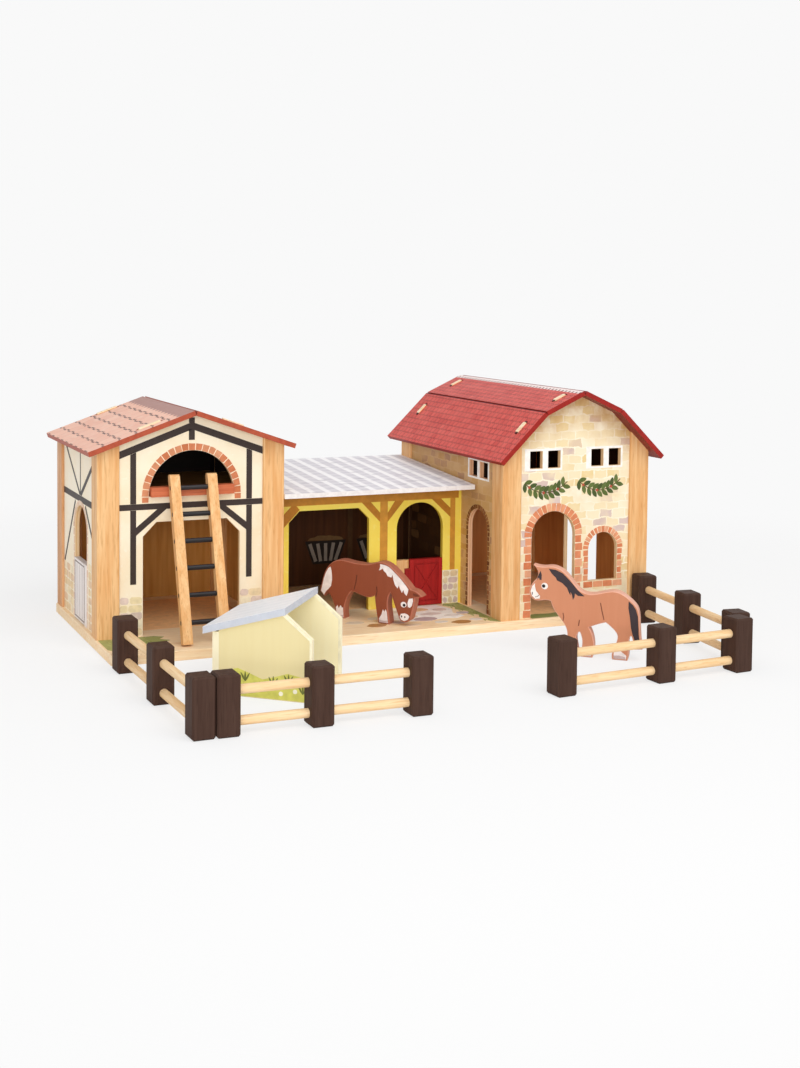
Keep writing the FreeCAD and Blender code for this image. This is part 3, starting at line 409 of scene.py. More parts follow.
def red_tiles(start, down, ridge):
    """Small pointed tiles under a dark seam of painted shade or, on the upper boards, under the ridge band."""
    def tiles(tree):
        eave, fall = board_place(tree, start, (0, 1, 0), down)
        wave = add(tree, "Math", [eave, TILE_WIDE / 4], operation="PINGPONG")
        scalloped = add(tree, "Math", [wave, SCALLOP, fall], operation="MULTIPLY_ADD")
        flat = add(tree, "CombineXYZ", {"X": eave, "Y": scalloped})
        laid = add(tree, "TexBrick", {
            "Vector": flat, "Color1": "#D8544A", "Color2": "#C8433B", "Mortar": "#8F2B26", "Scale": 1.0,
            "Mortar Size": TILE_JOINT, "Mortar Smooth": 0.6, "Brick Width": TILE_WIDE, "Row Height": TILE_TALL})
        wash = add(tree, "TexNoise", {"Vector": flat, "Scale": 1 / FADED_MM, "Detail": 4.0})
        faded = add(tree, "MapRange", [wash, 0.4, 0.75, 0.0, 0.4])
        red = add(tree, "Mix", {"Factor": faded, "A": laid, "B": "#DE6C61"}, data_type="RGBA")
        # on the low boards the dark top strip is painted shade under the upper board's edge
        top = add(tree, "Math", [fall, PALE_RIDGE if ridge else SEAM_SHADE_MM], operation="LESS_THAN")
        lined = add(tree, "Mix", {"Factor": top, "A": red, "B": "#5A1618"}, data_type="RGBA")
        if not ridge:
            return lined
        spaced = add(tree, "Math", [eave, TICK_PITCH, 0.0], operation="WRAP")
        tick = add(tree, "Math", [spaced, TICK_WIDE], operation="LESS_THAN")
        foot = add(tree, "Math", [tick, -TICK_TALL, PALE_RIDGE], operation="MULTIPLY_ADD")
        cap = add(tree, "Math", [fall, foot], operation="LESS_THAN")
        return add(tree, "Mix", {"Factor": cap, "A": lined, "B": "#F6E4E0"}, data_type="RGBA")
    return tiles


for hand, side in ((-1, "left"), (1, "right")):
    for level, slope in (("low", BARN_LOW), ("high", BARN_HIGH)):
        outward, down = pitch(*slope, hand)
        node = f"barn_roof_{side}_{level}"
        tiles = red_tiles(ridge_corner(node, hand), down, level == "high")
        dress(roof_board(f"plywood_red_tile_print_{side}_{level}", outward, tiles, RED_EDGE, RED_UNDER), node)

# %% [markdown]
# The tower roof is older looking: broad pink clay tiles in courses. Each course ends in a dark broken line that steps
# up and down from tile to tile, and the ridge is capped by a mauve band with a toothed lower edge. The steps are a
# square wave added to the place down the slope before the courses are drawn.

# %% Clay tiles of the tower
COURSE_MM, FIRST_COURSE_MM, CLAY_WIDE = 17.7, 10.7, 21.0
STEP_MM, LINE_MM, RIDGE_BAND_MM, RIDGE_TOOTH_MM = 0.9, 2.0, 17.0, 4.0
CLAY_JOINT, WORN_MM, DASH_MM = 0.5, 9.0, 2.6
CLAY_EDGE, CLAY_UNDER = ("#B15338", "#A1462F"), ("#B07F45", "#95652F")
TOWER_SLOPE = (1.0, 0.3452)


def clay_tiles(start, down):
    """Broad tiles in courses, each ended by a stepped and broken dark line, under a toothed ridge band."""
    def tiles(tree):
        eave, fall = board_place(tree, start, (0, 1, 0), down)
        wave = add(tree, "Math", [eave, CLAY_WIDE / 2], operation="PINGPONG")
        high = add(tree, "Math", [wave, CLAY_WIDE / 4], operation="GREATER_THAN")
        stepped = add(tree, "Math", [high, 2 * STEP_MM, fall], operation="MULTIPLY_ADD")
        rows = add(tree, "Math", [stepped, FIRST_COURSE_MM], operation="SUBTRACT")
        flat = add(tree, "CombineXYZ", {"X": eave, "Y": rows})
        laid = add(tree, "TexBrick", {
            "Vector": flat, "Color1": "#F4C0A9", "Color2": "#EDB39B", "Mortar": "#DDA28D", "Scale": 1.0,
            "Mortar Size": CLAY_JOINT, "Mortar Smooth": 0.4, "Brick Width": CLAY_WIDE, "Row Height": COURSE_MM})
        wash = add(tree, "TexNoise", {"Vector": flat, "Scale": 1 / WORN_MM, "Detail": 4.0})
        pale = add(tree, "MapRange", [wash, 0.52, 0.78, 0.0, 0.7])
        clay = add(tree, "Mix", {"Factor": pale, "A": laid, "B": "#F4D4C1"}, data_type="RGBA")
        part = add(tree, "Math", [rows, COURSE_MM, 0.0], operation="WRAP")
        line = add(tree, "Math", [part, LINE_MM], operation="LESS_THAN")
        break_up = add(tree, "TexNoise", {"Vector": flat, "Scale": 1 / DASH_MM, "Detail": 1.0})
        dash = add(tree, "Math", [break_up, 0.4], operation="GREATER_THAN")
        ink = add(tree, "Math", [line, dash], operation="MULTIPLY")
        lined = add(tree, "Mix", {"Factor": ink, "A": clay, "B": "#5C3833"}, data_type="RGBA")
        tooth = add(tree, "Math", [eave, CLAY_WIDE / 4], operation="PINGPONG")
        reach = add(tree, "Math", [tooth, RIDGE_TOOTH_MM / 5, RIDGE_BAND_MM], operation="MULTIPLY_ADD")
        cap = add(tree, "Math", [fall, reach], operation="LESS_THAN")
        mauve = add(tree, "Mix", {"Factor": wash, "A": "#B5877D", "B": "#A3756C"}, data_type="RGBA")
        return add(tree, "Mix", {"Factor": cap, "A": lined, "B": mauve}, data_type="RGBA")
    return tiles


for hand, side in ((-1, "left"), (1, "right")):
    outward, down = pitch(*TOWER_SLOPE, hand)
    node = f"tower_roof_{side}"
    tiles = clay_tiles(ridge_corner(node, hand), down)
    dress(roof_board(f"plywood_clay_tile_print_{side}", outward, tiles, CLAY_EDGE, CLAY_UNDER), node)

# %% [markdown]
# The lean-to roof is painted like old corrugated sheet: broad white and lavender-grey bands run from back to front.
# Fainter rows cross them, and a few short grey strokes. The shelter's roof is the same paint with hardly any pattern.

# %% Sheet-metal print of the low roofs
BAND_MM, GREY_SHARE, STROKE_MM, ROW_MM, BLUR_MM = 17.0, 0.6, 9.0, 15.0, 2.2
# strokes are longer across the bands than along them
STROKE_SHAPE = (0.35, 1.6, 1.0)


def sheet_bands(start, along, down, contrast, pale="#FBF9FA", grey="#CDC9D1", stroke_grey="#B4AEB8"):
    """Soft grey bands from back to front, crossed by fainter rows and short strokes."""
    def tiles(tree):
        eave, fall = board_place(tree, start, along, down)
        part = add(tree, "Math", [eave, BAND_MM, 0.0], operation="WRAP")
        rise = add(tree, "MapRange", [part, 0.0, BLUR_MM])
        drop = add(tree, "MapRange", [part, GREY_SHARE * BAND_MM, GREY_SHARE * BAND_MM + BLUR_MM, 1.0, 0.0])
        band = add(tree, "Math", [rise, drop], operation="MULTIPLY")
        flat = add(tree, "CombineXYZ", {"X": eave, "Y": fall})
        long = add(tree, "VectorMath", [flat, STROKE_SHAPE], operation="MULTIPLY")
        stroke = add(tree, "TexNoise", {"Vector": long, "Scale": 1 / STROKE_MM, "Detail": 2.0})
        mark = add(tree, "MapRange", [stroke, 0.6, 0.7, 0.0, contrast])
        row = add(tree, "Math", [fall, ROW_MM, 0.0], operation="WRAP")
        cross = add(tree, "MapRange", [row, 0.4 * ROW_MM, 0.6 * ROW_MM, 0.75, 1.0])
        woven = add(tree, "Math", [band, cross], operation="MULTIPLY")
        depth = add(tree, "Math", [woven, contrast], operation="MULTIPLY")
        sheet = add(tree, "Mix", {"Factor": depth, "A": pale, "B": grey}, data_type="RGBA")
        return add(tree, "Mix", {"Factor": mark, "A": sheet, "B": stroke_grey}, data_type="RGBA")
    return tiles


STABLE_RISE, STABLE_RUN = 12.0, 182.0
stable_length = math.hypot(STABLE_RISE, STABLE_RUN)
stable_out = (0, -STABLE_RISE / stable_length, STABLE_RUN / stable_length)
dress(roof_board("plywood_sheet_print_stable", stable_out, sheet_bands(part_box("stable_roof")[0], RIGHT, FRONT, 0.85),
                 ("#F1EDEA", "#E2DCDA"), ("#5A3F27", "#47301C")), "stable_roof")

# %% [markdown]
# ## The base board and the loft
# The base is one wide board of the same lacquered wood, seen mostly from above. Its grain runs the long way. The loft's
# floor is stained darker, and its sill is painted like terracotta.

# %% Base board and loft
board_wood = lacquered_wood("plywood_lacquered_board", "#FFE8C4", "#F8D6AA", "#E2B985", "x")
dress(board_wood, "base_board")
loft_wood = lacquered_wood("plywood_stained_loft", "#B58A55", "#98682F", "#7B4F22", "x")
dress(loft_wood, "loft_floor")
sill_clay = lacquered_wood("plywood_terracotta_paint", "#D0764F", "#C0633F", "#A85334", "x")
dress(sill_clay, "loft_sill")

# %% [markdown]
# ## Painted doors, shelter and horses
# These are single boards in matt paint. Paint fills the grain but leaves faint brush streaks, so each is the wood
# finish again with close tones. The horses are sawn from thicker wood: the flat faces are painted, and the sawn rim is
# a paler mix of the same paint, which the face mask picks out.

# %% Painted doors
red_paint = lacquered_wood("plywood_red_paint", "#B02322", "#9B1B1B", "#7F1414", "z", roughness=0.42)
dress(red_paint, "stall_door_leaf")
grey_paint = lacquered_wood("plywood_whitewash_paint", "#F6EFEB", "#EDE4E0", "#DACFCB", "z")
dress(grey_paint, "side_door_leaf", "side_door_stile")

# %% Painted faces and sawn rims
# only the flat face counts as painted, not the chamfer round it
FLAT = 0.95


def painted_sides(name, outward, face, rim, along="z"):
    """A sawn board whose two flat faces are painted and whose rim is paler."""
    finish, tree, shader = new_finish(name, **SATIN)
    streak, fleck = grain(tree, along)
    paint = add(tree, "ValToRGB", {"Fac": streak}, stops=[(0.25, face[0]), (0.75, face[1])])
    edge = add(tree, "ValToRGB", {"Fac": streak}, stops=[(0.25, rim[0]), (0.75, rim[1])])
    inward = tuple(-v for v in outward)
    flat = add(tree, "Math", [facing(tree, outward, FLAT), facing(tree, inward, FLAT)], operation="ADD")
    skin = add(tree, "Mix", {"Factor": flat, "A": edge, "B": paint}, data_type="RGBA")
    coat(tree, shader, skin, fleck, (0.38, 0.54), fleck, 0.06, 0.12)
    return finish


Turned = namedtuple("Turned", "origin across back")


def turned(x, y, z, degrees):
    """The frame of a loose piece: where it stands, along its length, and from its near face to its far one."""
    angle = math.radians(degrees)
    return Turned(Vector((x, y, z)) * MM, Vector((math.cos(angle), math.sin(angle), 0)),
                  Vector((-math.sin(angle), math.cos(angle), 0)))


# %% Horses
MARE = turned(-0.57, 22.65, 9.5, -50)
FOAL = turned(168.23, -152.05, 0, -40)
CHESTNUT, PALE_CHESTNUT = ("#914A31", "#8B472E"), ("#B7715A", "#AA634C")
BAY, PALE_BAY = ("#CE8A67", "#CA8562"), ("#E6AE96", "#DDA087")
dress(painted_sides("beech_chestnut_paint", tuple(-MARE.back), CHESTNUT, PALE_CHESTNUT), "horse_mare")
dress(painted_sides("beech_bay_paint", tuple(-FOAL.back), BAY, PALE_BAY), "horse_foal")

# %% Shelter
SHELTER = turned(-237.77, -126.15, 0, -40)
SHELTER_BACK, SHELTER_ACROSS = tuple(SHELTER.back), tuple(SHELTER.across)
PRIMROSE, PALE_PRIMROSE = ("#EBDDAA", "#E9DAA5"), ("#FBF3D4", "#F8EECB")
# the back gable's inner face gets paler tones, painted light under the shade of the roof
LIT_INNER_PRIMROSE = ("#FFF6CE", "#FDF2C6")
for name, outward, face, node in (("gable", SHELTER_BACK, PRIMROSE, "shelter_gable_front"),
                                  ("inner", SHELTER_BACK, LIT_INNER_PRIMROSE, "shelter_gable_back"),
                                  ("side", SHELTER_ACROSS, PRIMROSE, "shelter_wall_side")):
    dress(painted_sides(f"plywood_primrose_paint_{name}", outward, face, PALE_PRIMROSE), node)
SHELTER_RISE, SHELTER_RUN = 20.0, 68.0
shelter_length = math.hypot(SHELTER_RISE, SHELTER_RUN)
shelter_down = -SHELTER.across * SHELTER_RUN / shelter_length - Vector(TOP) * SHELTER_RISE / shelter_length
shelter_out = -SHELTER.across * SHELTER_RISE / shelter_length + Vector(TOP) * SHELTER_RUN / shelter_length
SHELTER_WHITE, SHELTER_GREY = "#F6F9FD", "#E2E7EE"
shelter_sheet = sheet_bands(SHELTER.origin, SHELTER_BACK, tuple(shelter_down), 0.3, SHELTER_WHITE, SHELTER_GREY,
                            SHELTER_GREY)
dress(roof_board("plywood_sheet_print_shelter", tuple(shelter_out), shelter_sheet,
                 ("#CDD2DC", "#C5CAD5"), ("#E9DFB4", "#DFD3A0")), "shelter_roof")

# %% [markdown]
# ## Prints with their own outlines
# Timbers, bricks, stones and horse markings have crisp outlines that no noise will draw. On the real toy they are ink,
# a few hundredths of a millimetre thick. Here each print is a set of very thin closed plates on the board's face, in
# one mesh. A colour attribute holds each plate's ink, and one ink finish reads it and adds a little unevenness.

# %% The ink finish
INK_CLOUD_MM = 6.0
ink, tree, shader = new_finish("screen_ink_under_lacquer", **SATIN)
tint = add(tree, "Attribute", attribute_name="tint").outputs["Color"]
ink_place = add(tree, "TexCoord").outputs["Object"]
uneven = add(tree, "TexNoise", {"Vector": ink_place, "Scale": 1 / (INK_CLOUD_MM * MM), "Detail": 4.0})
thin = add(tree, "MapRange", [uneven, 0.3, 0.7, 0.88, 1.1])
ink_skin = add(tree, "VectorMath", {0: tint, "Scale": thin}, operation="SCALE")
ink_gloss = add(tree, "MapRange", [uneven, 0.0, 1.0, 0.4, 0.55])
feed(tree, shader, {"Base Color": ink_skin, "Roughness": ink_gloss})
print(ink.name, "with", len(tree.nodes), "nodes")

# %% Thin plates on a face
Face = namedtuple("Face", "origin across up out")
# ink is thinner than 0.1 mm; a plate is 0.2 mm proud so that it never shares a surface with the board, and prints that
# lie under or over others are a little lower or higher
UNDER_MM, PROUD_MM, OVER_MM, UPPERMOST_MM, SUNK_MM = 0.1, 0.2, 0.3, 0.4, 0.15
# where plates of one print overlap, small steps in height keep their tops apart
STEP_UP_MM, STEPS_UP = 0.01, 8


def plates(name, body, face, shapes, proud=PROUD_MM, finish=ink):
    """One mesh of thin closed plates. Each shape is an ink colour and an outline in millimetres on the face."""
    points, faces, inks = [], [], []
    hand = face.across.cross(face.up).dot(face.out)
    for number, (code, outline) in enumerate(shapes):
        around = zip(outline, outline[1:] + outline[:1])
        area = sum(a[0] * b[1] - b[0] * a[1] for a, b in around)
        ring = outline if area * hand > 0 else outline[::-1]
        first, count = len(points), len(ring)
        for height in (-SUNK_MM, proud + STEP_UP_MM * (number % STEPS_UP)):
            points += [face.origin + (face.across * x + face.up * y + face.out * height) * MM for x, y in ring]
        faces.append([first + count + i for i in range(count)])
        faces.append([first + i for i in reversed(range(count))])
        for i in range(count):
            j = (i + 1) % count
            faces.append([first + i, first + j, first + count + j, first + count + i])
        inks += [linear(code)] * (2 * count)
    mesh = bpy.data.meshes.new(name)
    mesh.from_pydata(points, [], faces)
    layer = mesh.color_attributes.new("tint", "FLOAT_COLOR", "POINT")
    for spot, code in zip(layer.data, inks):
        spot.color = code
    mesh.materials.append(finish)
    piece = bpy.data.objects.new(name, mesh)
    bpy.context.scene.collection.objects.link(piece)
    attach(piece, body)
    print(name, len(shapes), "plates")


def upright(node, side):
    """The face of a board on one side of its box, measured in the model's own millimetres."""
    low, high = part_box(node)
    out = Vector(SIDES[side])
    reach = low if side in ("front", "left") else high
    along = Vector(RIGHT) if side in ("front", "back") else Vector(BACK)
    return Face(Vector(abs(o) * r for o, r in zip(out, reach)), along, Vector(TOP), out)


# %% [markdown]
# A handful of outline makers covers almost every print: a rectangle, a straight bar, a ring of bricks over an arch, a
# stack of bricks beside it, and rows of rounded stones. Each stone or brick is nudged by a seeded random amount, so
# the prints look drawn by hand and still come out the same every time.

# %% Outline makers
BRICKS = ("#DB8960", "#E09870", "#D57E54", "#E5A580", "#D8855C")
BRICK_NUDGE, STACK_NUDGE, STONE_NUDGE = 0.25, 0.2, 0.4
hand_drawn = random.Random(7)


def rect(left, right, bottom, top):
    """An upright rectangle."""
    return [(left, bottom), (right, bottom), (right, top), (left, top)]


def bar(start, end, width):
    """A straight strip between two points."""
    along = Vector(end) - Vector(start)
    side = Vector((-along.y, along.x)).normalized() * width / 2
    return [tuple(Vector(p) + s) for p, s in ((start, side), (start, -side), (end, -side), (end, side))]


def nudge(outline, amount):
    """The outline with every corner moved by up to an amount."""
    return [(x + hand_drawn.uniform(-amount, amount), y + hand_drawn.uniform(-amount, amount)) for x, y in outline]


def arch_bricks(x, z, inner, outer, count, gap=1.0, inks=BRICKS):
    """Wedge bricks over a half-round arch."""
    shapes = []
    for i in range(count):
        start, end = math.pi * i / count + gap / 2 / outer, math.pi * (i + 1) / count - gap / 2 / outer
        middle = (start + end) / 2
        outline = [(inner, start), (inner, middle), (inner, end), (outer, end), (outer, middle), (outer, start)]
        shapes.append((hand_drawn.choice(inks),
                       nudge([(x + r * math.cos(a), z + r * math.sin(a)) for r, a in outline], BRICK_NUDGE)))
    return shapes


def stacked_bricks(inner, outer, bottom, top, course=8.4, tooth=0.0, gap=1.0, inks=BRICKS):
    """Bricks stacked beside an opening, every other one shorter by the tooth."""
    rows = max(1, round((top - bottom) / course))
    tall = (top - bottom) / rows
    shapes = []
    for i in range(rows):
        end = outer + (math.copysign(tooth, inner - outer) if i % 2 else 0)
        low, high = bottom + i * tall + gap / 2, bottom + (i + 1) * tall - gap / 2
        shapes.append((hand_drawn.choice(inks), nudge(rect(inner, end, low, high), STACK_NUDGE)))
    return shapes


# %% Rows of stones
HALF_JOINT, LEAST_STONE, STONE_CUT = 0.5, 4, 1.6


def eased(left, right, bottom, top, cut):
    """A rectangle with its corners cut."""
    return [(left + cut, bottom), (right - cut, bottom), (right, bottom + cut), (right, top - cut),
            (right - cut, top), (left + cut, top), (left, top - cut), (left, bottom + cut)]


def stone_rows(left, right, bottom, top, inks, course=8.0, wide=12.0, share=1.0):
    """Rows of rounded stones in a rectangle, or only a share of them."""
    shapes = []
    rows = max(1, round((top - bottom) / course))
    tall = (top - bottom) / rows
    for i in range(rows):
        x = left
        while x < right - LEAST_STONE / 2:
            end = min(right, x + wide * hand_drawn.uniform(0.7, 1.3))
            end = right if right - end < LEAST_STONE else end
            low, high = bottom + i * tall + HALF_JOINT, bottom + (i + 1) * tall - HALF_JOINT
            if hand_drawn.random() <= share:
                stone = eased(x + HALF_JOINT, end - HALF_JOINT, low, high, min(STONE_CUT, (end - x - 1) / 3))
                shapes.append((hand_drawn.choice(inks), nudge(stone, STONE_NUDGE)))
            x = end
    return shapes


# %% [markdown]
# ## Timber frame of the tower
# The tower front carries a printed timber frame: two slanting rafters, a short king post, a tie beam, two posts and two
# knee braces. Bricks ring the loft arch and pale stones fill the lower corners. The sides and the back repeat the frame
# with longer braces.

# %% Tower front
TIMBER = "#3A2F2B"
TOWER_MIDDLE, TOWER_LEFT, TOWER_RIGHT = -199.17, -274.5, -123.8
BEAM_LOW, BEAM_HIGH, TIMBER_WIDE, STONES_LOW = 136.2, 142.2, 6.0, 10.5
tie_beam = (TIMBER, rect(TOWER_LEFT, TOWER_RIGHT, BEAM_LOW, BEAM_HIGH))
# one half of the frame, measured outward from the middle: rafter, post under and over the beam, knee brace
HALF_FRAME = [[(0, 222.4), (75.3, 195.1), (75.3, 187.7), (0, 215.0)],
              rect(58.0, 64.0, 62, 136),
              [(58.0, 142.4), (64.0, 142.4), (64.0, 191.6), (58.0, 193.8)],
              [(58.2, 118.6), (58.2, 110.6), (26.6, BEAM_LOW), (36.2, BEAM_LOW)]]
frame_shapes = []
for hand in (-1, 1):
    frame_shapes += [(TIMBER, [(TOWER_MIDDLE + hand * x, z) for x, z in outline]) for outline in HALF_FRAME]
frame_shapes += [(TIMBER, rect(-202.6, -196.4, 204.4, 215.2)), (TIMBER, rect(-202.6, -196.4, 221.6, 227.0)), tie_beam]
LOFT_BRICKS = ("#CB7C54", "#D08A63", "#C57248", "#D59671", "#C87850")
LOFT_Z, LOFT_INNER, LOFT_OUTER = 149.0, 45.3, 52.0
frame_shapes += arch_bricks(TOWER_MIDDLE, LOFT_Z, LOFT_INNER, LOFT_OUTER, 21, inks=LOFT_BRICKS)
for hand in (-1, 1):
    frame_shapes += stacked_bricks(TOWER_MIDDLE + hand * LOFT_INNER, TOWER_MIDDLE + hand * LOFT_OUTER, 142.8, LOFT_Z,
                                   6.0, inks=LOFT_BRICKS)
tower_front = upright("tower_wall_front", "front")
plates("tower_front_timbers", "building", tower_front, frame_shapes)
CORNER_STONES = ("#EAD9AE", "#DAC6BA", "#F1E6CB", "#E5D0AA")
corner_stones = stone_rows(-274.3, -250.6, STONES_LOW, 50, CORNER_STONES)
corner_stones += stone_rows(-147.8, -124.0, STONES_LOW, 50, CORNER_STONES)
plates("tower_front_stones", "building", tower_front, corner_stones)

# %% Tower sides
SIDE_FRONT, SIDE_BACK = 75.5, 209.0
right_shapes = [(TIMBER, rect(SIDE_FRONT, SIDE_BACK, 176, 181.5))]
for y in (80, 142, 204):
    right_shapes += [(TIMBER, bar((y, low), (y, high), 5.0)) for low, high in ((156, 175.8), (181.7, 194))]
plates("tower_right_timbers", "building", upright("tower_wall_right", "right"), right_shapes)
THIN_TIMBER = "#403836"
# each brace: its two ends and its width
SIDE_BRACES = [((136, 142.8), (205, 192), 3.4), ((132, 142.8), (79, 180), 5.0), ((134, 142.2), (134, 192), 2.6),
               ((156.6, 133.4), (206, 62), 3.4), ((112.4, 133.4), (77.5, 99), 3.4)]
left_shapes = [(TIMBER, rect(SIDE_FRONT, SIDE_BACK, 135.0, 141.6))]
left_shapes += [(THIN_TIMBER, bar(*brace)) for brace in SIDE_BRACES]
PALE_BRICKS = ("#E6C3A8", "#EBD0B8", "#E0B79C")
DOOR_MIDDLE, DOOR_INNER = 133.25, 27.3
left_shapes += arch_bricks(DOOR_MIDDLE, 104.5, DOOR_INNER, 31.9, 15, 0.8, PALE_BRICKS)
for hand in (-1, 1):
    left_shapes += stacked_bricks(DOOR_MIDDLE + hand * DOOR_INNER, DOOR_MIDDLE + hand * 31.6, STONES_LOW, 104.2,
                                  8.4, 1.6, inks=PALE_BRICKS)
tower_left = upright("tower_wall_left", "left")
plates("tower_left_timbers", "building", tower_left, left_shapes)
LEFT_STONES = ("#F2DDB4", "#EBCFA2", "#F5E5C6", "#E9C8A4")
left_stones = stone_rows(166.5, 208.5, STONES_LOW, 62, LEFT_STONES) + stone_rows(76, 99.5, STONES_LOW, 78, LEFT_STONES)
plates("tower_left_stones", "building", tower_left, left_stones, UNDER_MM)

# %% Tower back
BACK_RAFTER = ((3.1, 221.2), (75.3, 195.1), (75.3, 187.7), (3.1, 213.9))
back_shapes = [tie_beam, (TIMBER, bar((TOWER_MIDDLE, 12), (TOWER_MIDDLE, 136), TIMBER_WIDE)),
               (TIMBER, bar((TOWER_MIDDLE, 142.4), (TOWER_MIDDLE, 213), TIMBER_WIDE))]
for hand in (-1, 1):
    post = TOWER_MIDDLE + hand * 61
    back_shapes += [(TIMBER, [(TOWER_MIDDLE + hand * x, z) for x, z in BACK_RAFTER]),
                    (TIMBER, bar((post, 12), (post, 136), TIMBER_WIDE)),
                    (TIMBER, bar((post, 142.4), (post, 191.5), TIMBER_WIDE)),
                    (TIMBER, bar((TOWER_MIDDLE + hand * 4, 62), (TOWER_MIDDLE + hand * 57, 133.5), 5.0))]
plates("tower_back_timbers", "building", upright("tower_wall_back", "back"), back_shapes)

# %% [markdown]
# ## The lean-to's frame and its hay racks
# The yellow front has golden-brown timbers: a wall plate under the eave, two posts and short knee braces.
# A pillar of pale stones stands at its right end. On the dark back wall inside, two hay racks are printed: pale slats
# on a black basket with a heap of hay on top.

# %% Lean-to timbers and pillar
GOLDEN, GOLDEN_BRACE, GOLDEN_POST = "#C68730", "#BE7D28", "#D29438"
PLATE_LOW = 126.5
stable_shapes = [
    (GOLDEN, rect(-100.4, 119.0, PLATE_LOW, 142.4)),
    (GOLDEN_POST, rect(23.8, 32.8, 9.8, PLATE_LOW)),
    (GOLDEN_POST, rect(108.8, 114.8, 47, PLATE_LOW)),
    (GOLDEN_BRACE, [(-95, 103), (-88.5, 103.6), (-70, 122.3), (-73.5, 126.5), (-79.5, 126.5), (-95, 111)]),
    (GOLDEN_BRACE, [(2.1, PLATE_LOW), (12.8, PLATE_LOW), (23.8, 114.5), (23.8, 104.6)]),
    (GOLDEN_BRACE, [(32.8, 114.0), (32.8, 104.2), (52.2, PLATE_LOW), (41.3, PLATE_LOW)]),
    (GOLDEN_BRACE, [(86.1, PLATE_LOW), (97.2, PLATE_LOW), (108.8, 115.6), (108.8, 105.6)])]
stable_front = upright("stable_wall_front", "front")
plates("stable_front_timbers", "building", stable_front, stable_shapes)
back_timbers = [(GOLDEN, rect(-95.5, 115.5, 128, 142))]
back_timbers += [(GOLDEN_POST, bar((x, 11), (x, 127.8), 8.0)) for x in (-80, 10, 100)]
for x, hand in ((-80, 1), (10, -1), (10, 1), (100, -1)):
    back_timbers.append((GOLDEN_BRACE, bar((x + 2 * hand, 98), (x + 29 * hand, 125), 7.0)))
plates("stable_back_timbers", "building", upright("stable_wall_back", "back"), back_timbers)
MORTAR = "#F6EDD6"
plates("stable_pillar_mortar", "building", stable_front, [(MORTAR, rect(99.9, 119.2, 9.8, 46.8))],
       UNDER_MM)
PILLAR_STONES = ("#EBDDB9", "#E4D3AC", "#D6C1B8", "#EFE4C8", "#E2CDA4", "#CDB8B2")
plates("stable_pillar_stones", "building", stable_front,
       stone_rows(100.2, 119.0, 9.9, 46.5, PILLAR_STONES, 7.3, 8.5))

# %% Hay racks
RACK_BEAM, HAY, BASKET, SLAT = "#5B3D22", "#7A5C38", "#2A211C", "#9C9084"
HEAP_STEPS = 14
stall_face = upright("stable_wall_back", "front")
slats, rack_shapes = [], [(RACK_BEAM, bar((-96, 100), (116, 100), 5.0))]
rack_shapes += [(RACK_BEAM, bar((x, 12), (x, 97), 6.0)) for x in (-60, 50)]
rack_shapes += [(RACK_BEAM, bar((50, 103), (50 + lean, 132), 6.0)) for lean in (-30, 30)]
for middle in (18.7, 84):
    heap = [(middle + 23 * math.cos(a), 61.2 + 6 * math.sin(a) + hand_drawn.uniform(-0.8, 0.8))
            for a in [math.pi * i / HEAP_STEPS for i in range(HEAP_STEPS + 1)]]
    rack_shapes.append((HAY, heap))
    rack_shapes.append((BASKET, [(middle - 26, 61), (middle + 26, 61), (middle + 16, 34), (middle - 16, 34)]))
    slats += [(SLAT, bar((middle + x, 58), (middle + 0.62 * x, 37), 4.2)) for x in (-20, -10, 0, 10, 20)]
plates("hay_racks", "building", stall_face, rack_shapes)
plates("hay_rack_slats", "building", stall_face, slats, OVER_MM)

# %% [markdown]
# ## Brick arches and window frames of the barn
# Every arch of the barn has a brick surround, and each pair of panes sits in a white brushed frame.

# %% Barn front
WHITE_FRAME = "#F8F3EC"
CLEAR_MM = 0.2


def pane_frame(panes, bottom, top, left=6.5, right=2.2, below=2.2, above=2.6):
    """White strips round a row of panes and between them, kept clear of the sawn edges."""
    first, last = panes[0][0] - left, panes[-1][1] + right
    low, high = bottom - CLEAR_MM, top + CLEAR_MM
    strips = [rect(first, last, high, top + above), rect(first, last, bottom - below, low),
              rect(first, panes[0][0] - CLEAR_MM, low, high), rect(panes[-1][1] + CLEAR_MM, last, low, high)]
    for near, far in zip(panes, panes[1:]):
        strips.append(rect(near[1] + CLEAR_MM, far[0] - CLEAR_MM, low, high))
    return [(WHITE_FRAME, strip) for strip in strips]


barn_front = upright("barn_wall_front", "front")
WALL_FOOT = 9.9
barn_shapes = arch_bricks(183.03, 95.5, 26.8, 35.2, 17)
for inner, outer in ((156.2, 147.4), (209.9, 218.6)):
    barn_shapes += stacked_bricks(inner, outer, WALL_FOOT, 95.2, 8.6, 1.6)
barn_shapes += arch_bricks(244.53, 78.5, 18.3, 24.6, 15)
for inner, outer in ((226.2, 220.4), (262.9, 268.7)):
    barn_shapes += stacked_bricks(inner, outer, 44.4, 78.2, 6.8, 0.8)
barn_shapes += [(hand_drawn.choice(BRICKS), nudge(rect(x + 0.5, x + 11.8, 37.4, 43.6), STACK_NUDGE))
                for x in (220.4, 232.7, 245.0, 257.3)]
plates("barn_front_bricks", "building", barn_front, barn_shapes)
PANES_LOW, PANES_HIGH = 168.0, 186.5
window_shapes = pane_frame([(153.43, 168.43), (175.23, 190.23)], PANES_LOW, PANES_HIGH)
window_shapes += pane_frame([(228.43, 243.43), (250.23, 265.23)], PANES_LOW, PANES_HIGH)
plates("barn_front_frames", "building", barn_front, window_shapes)

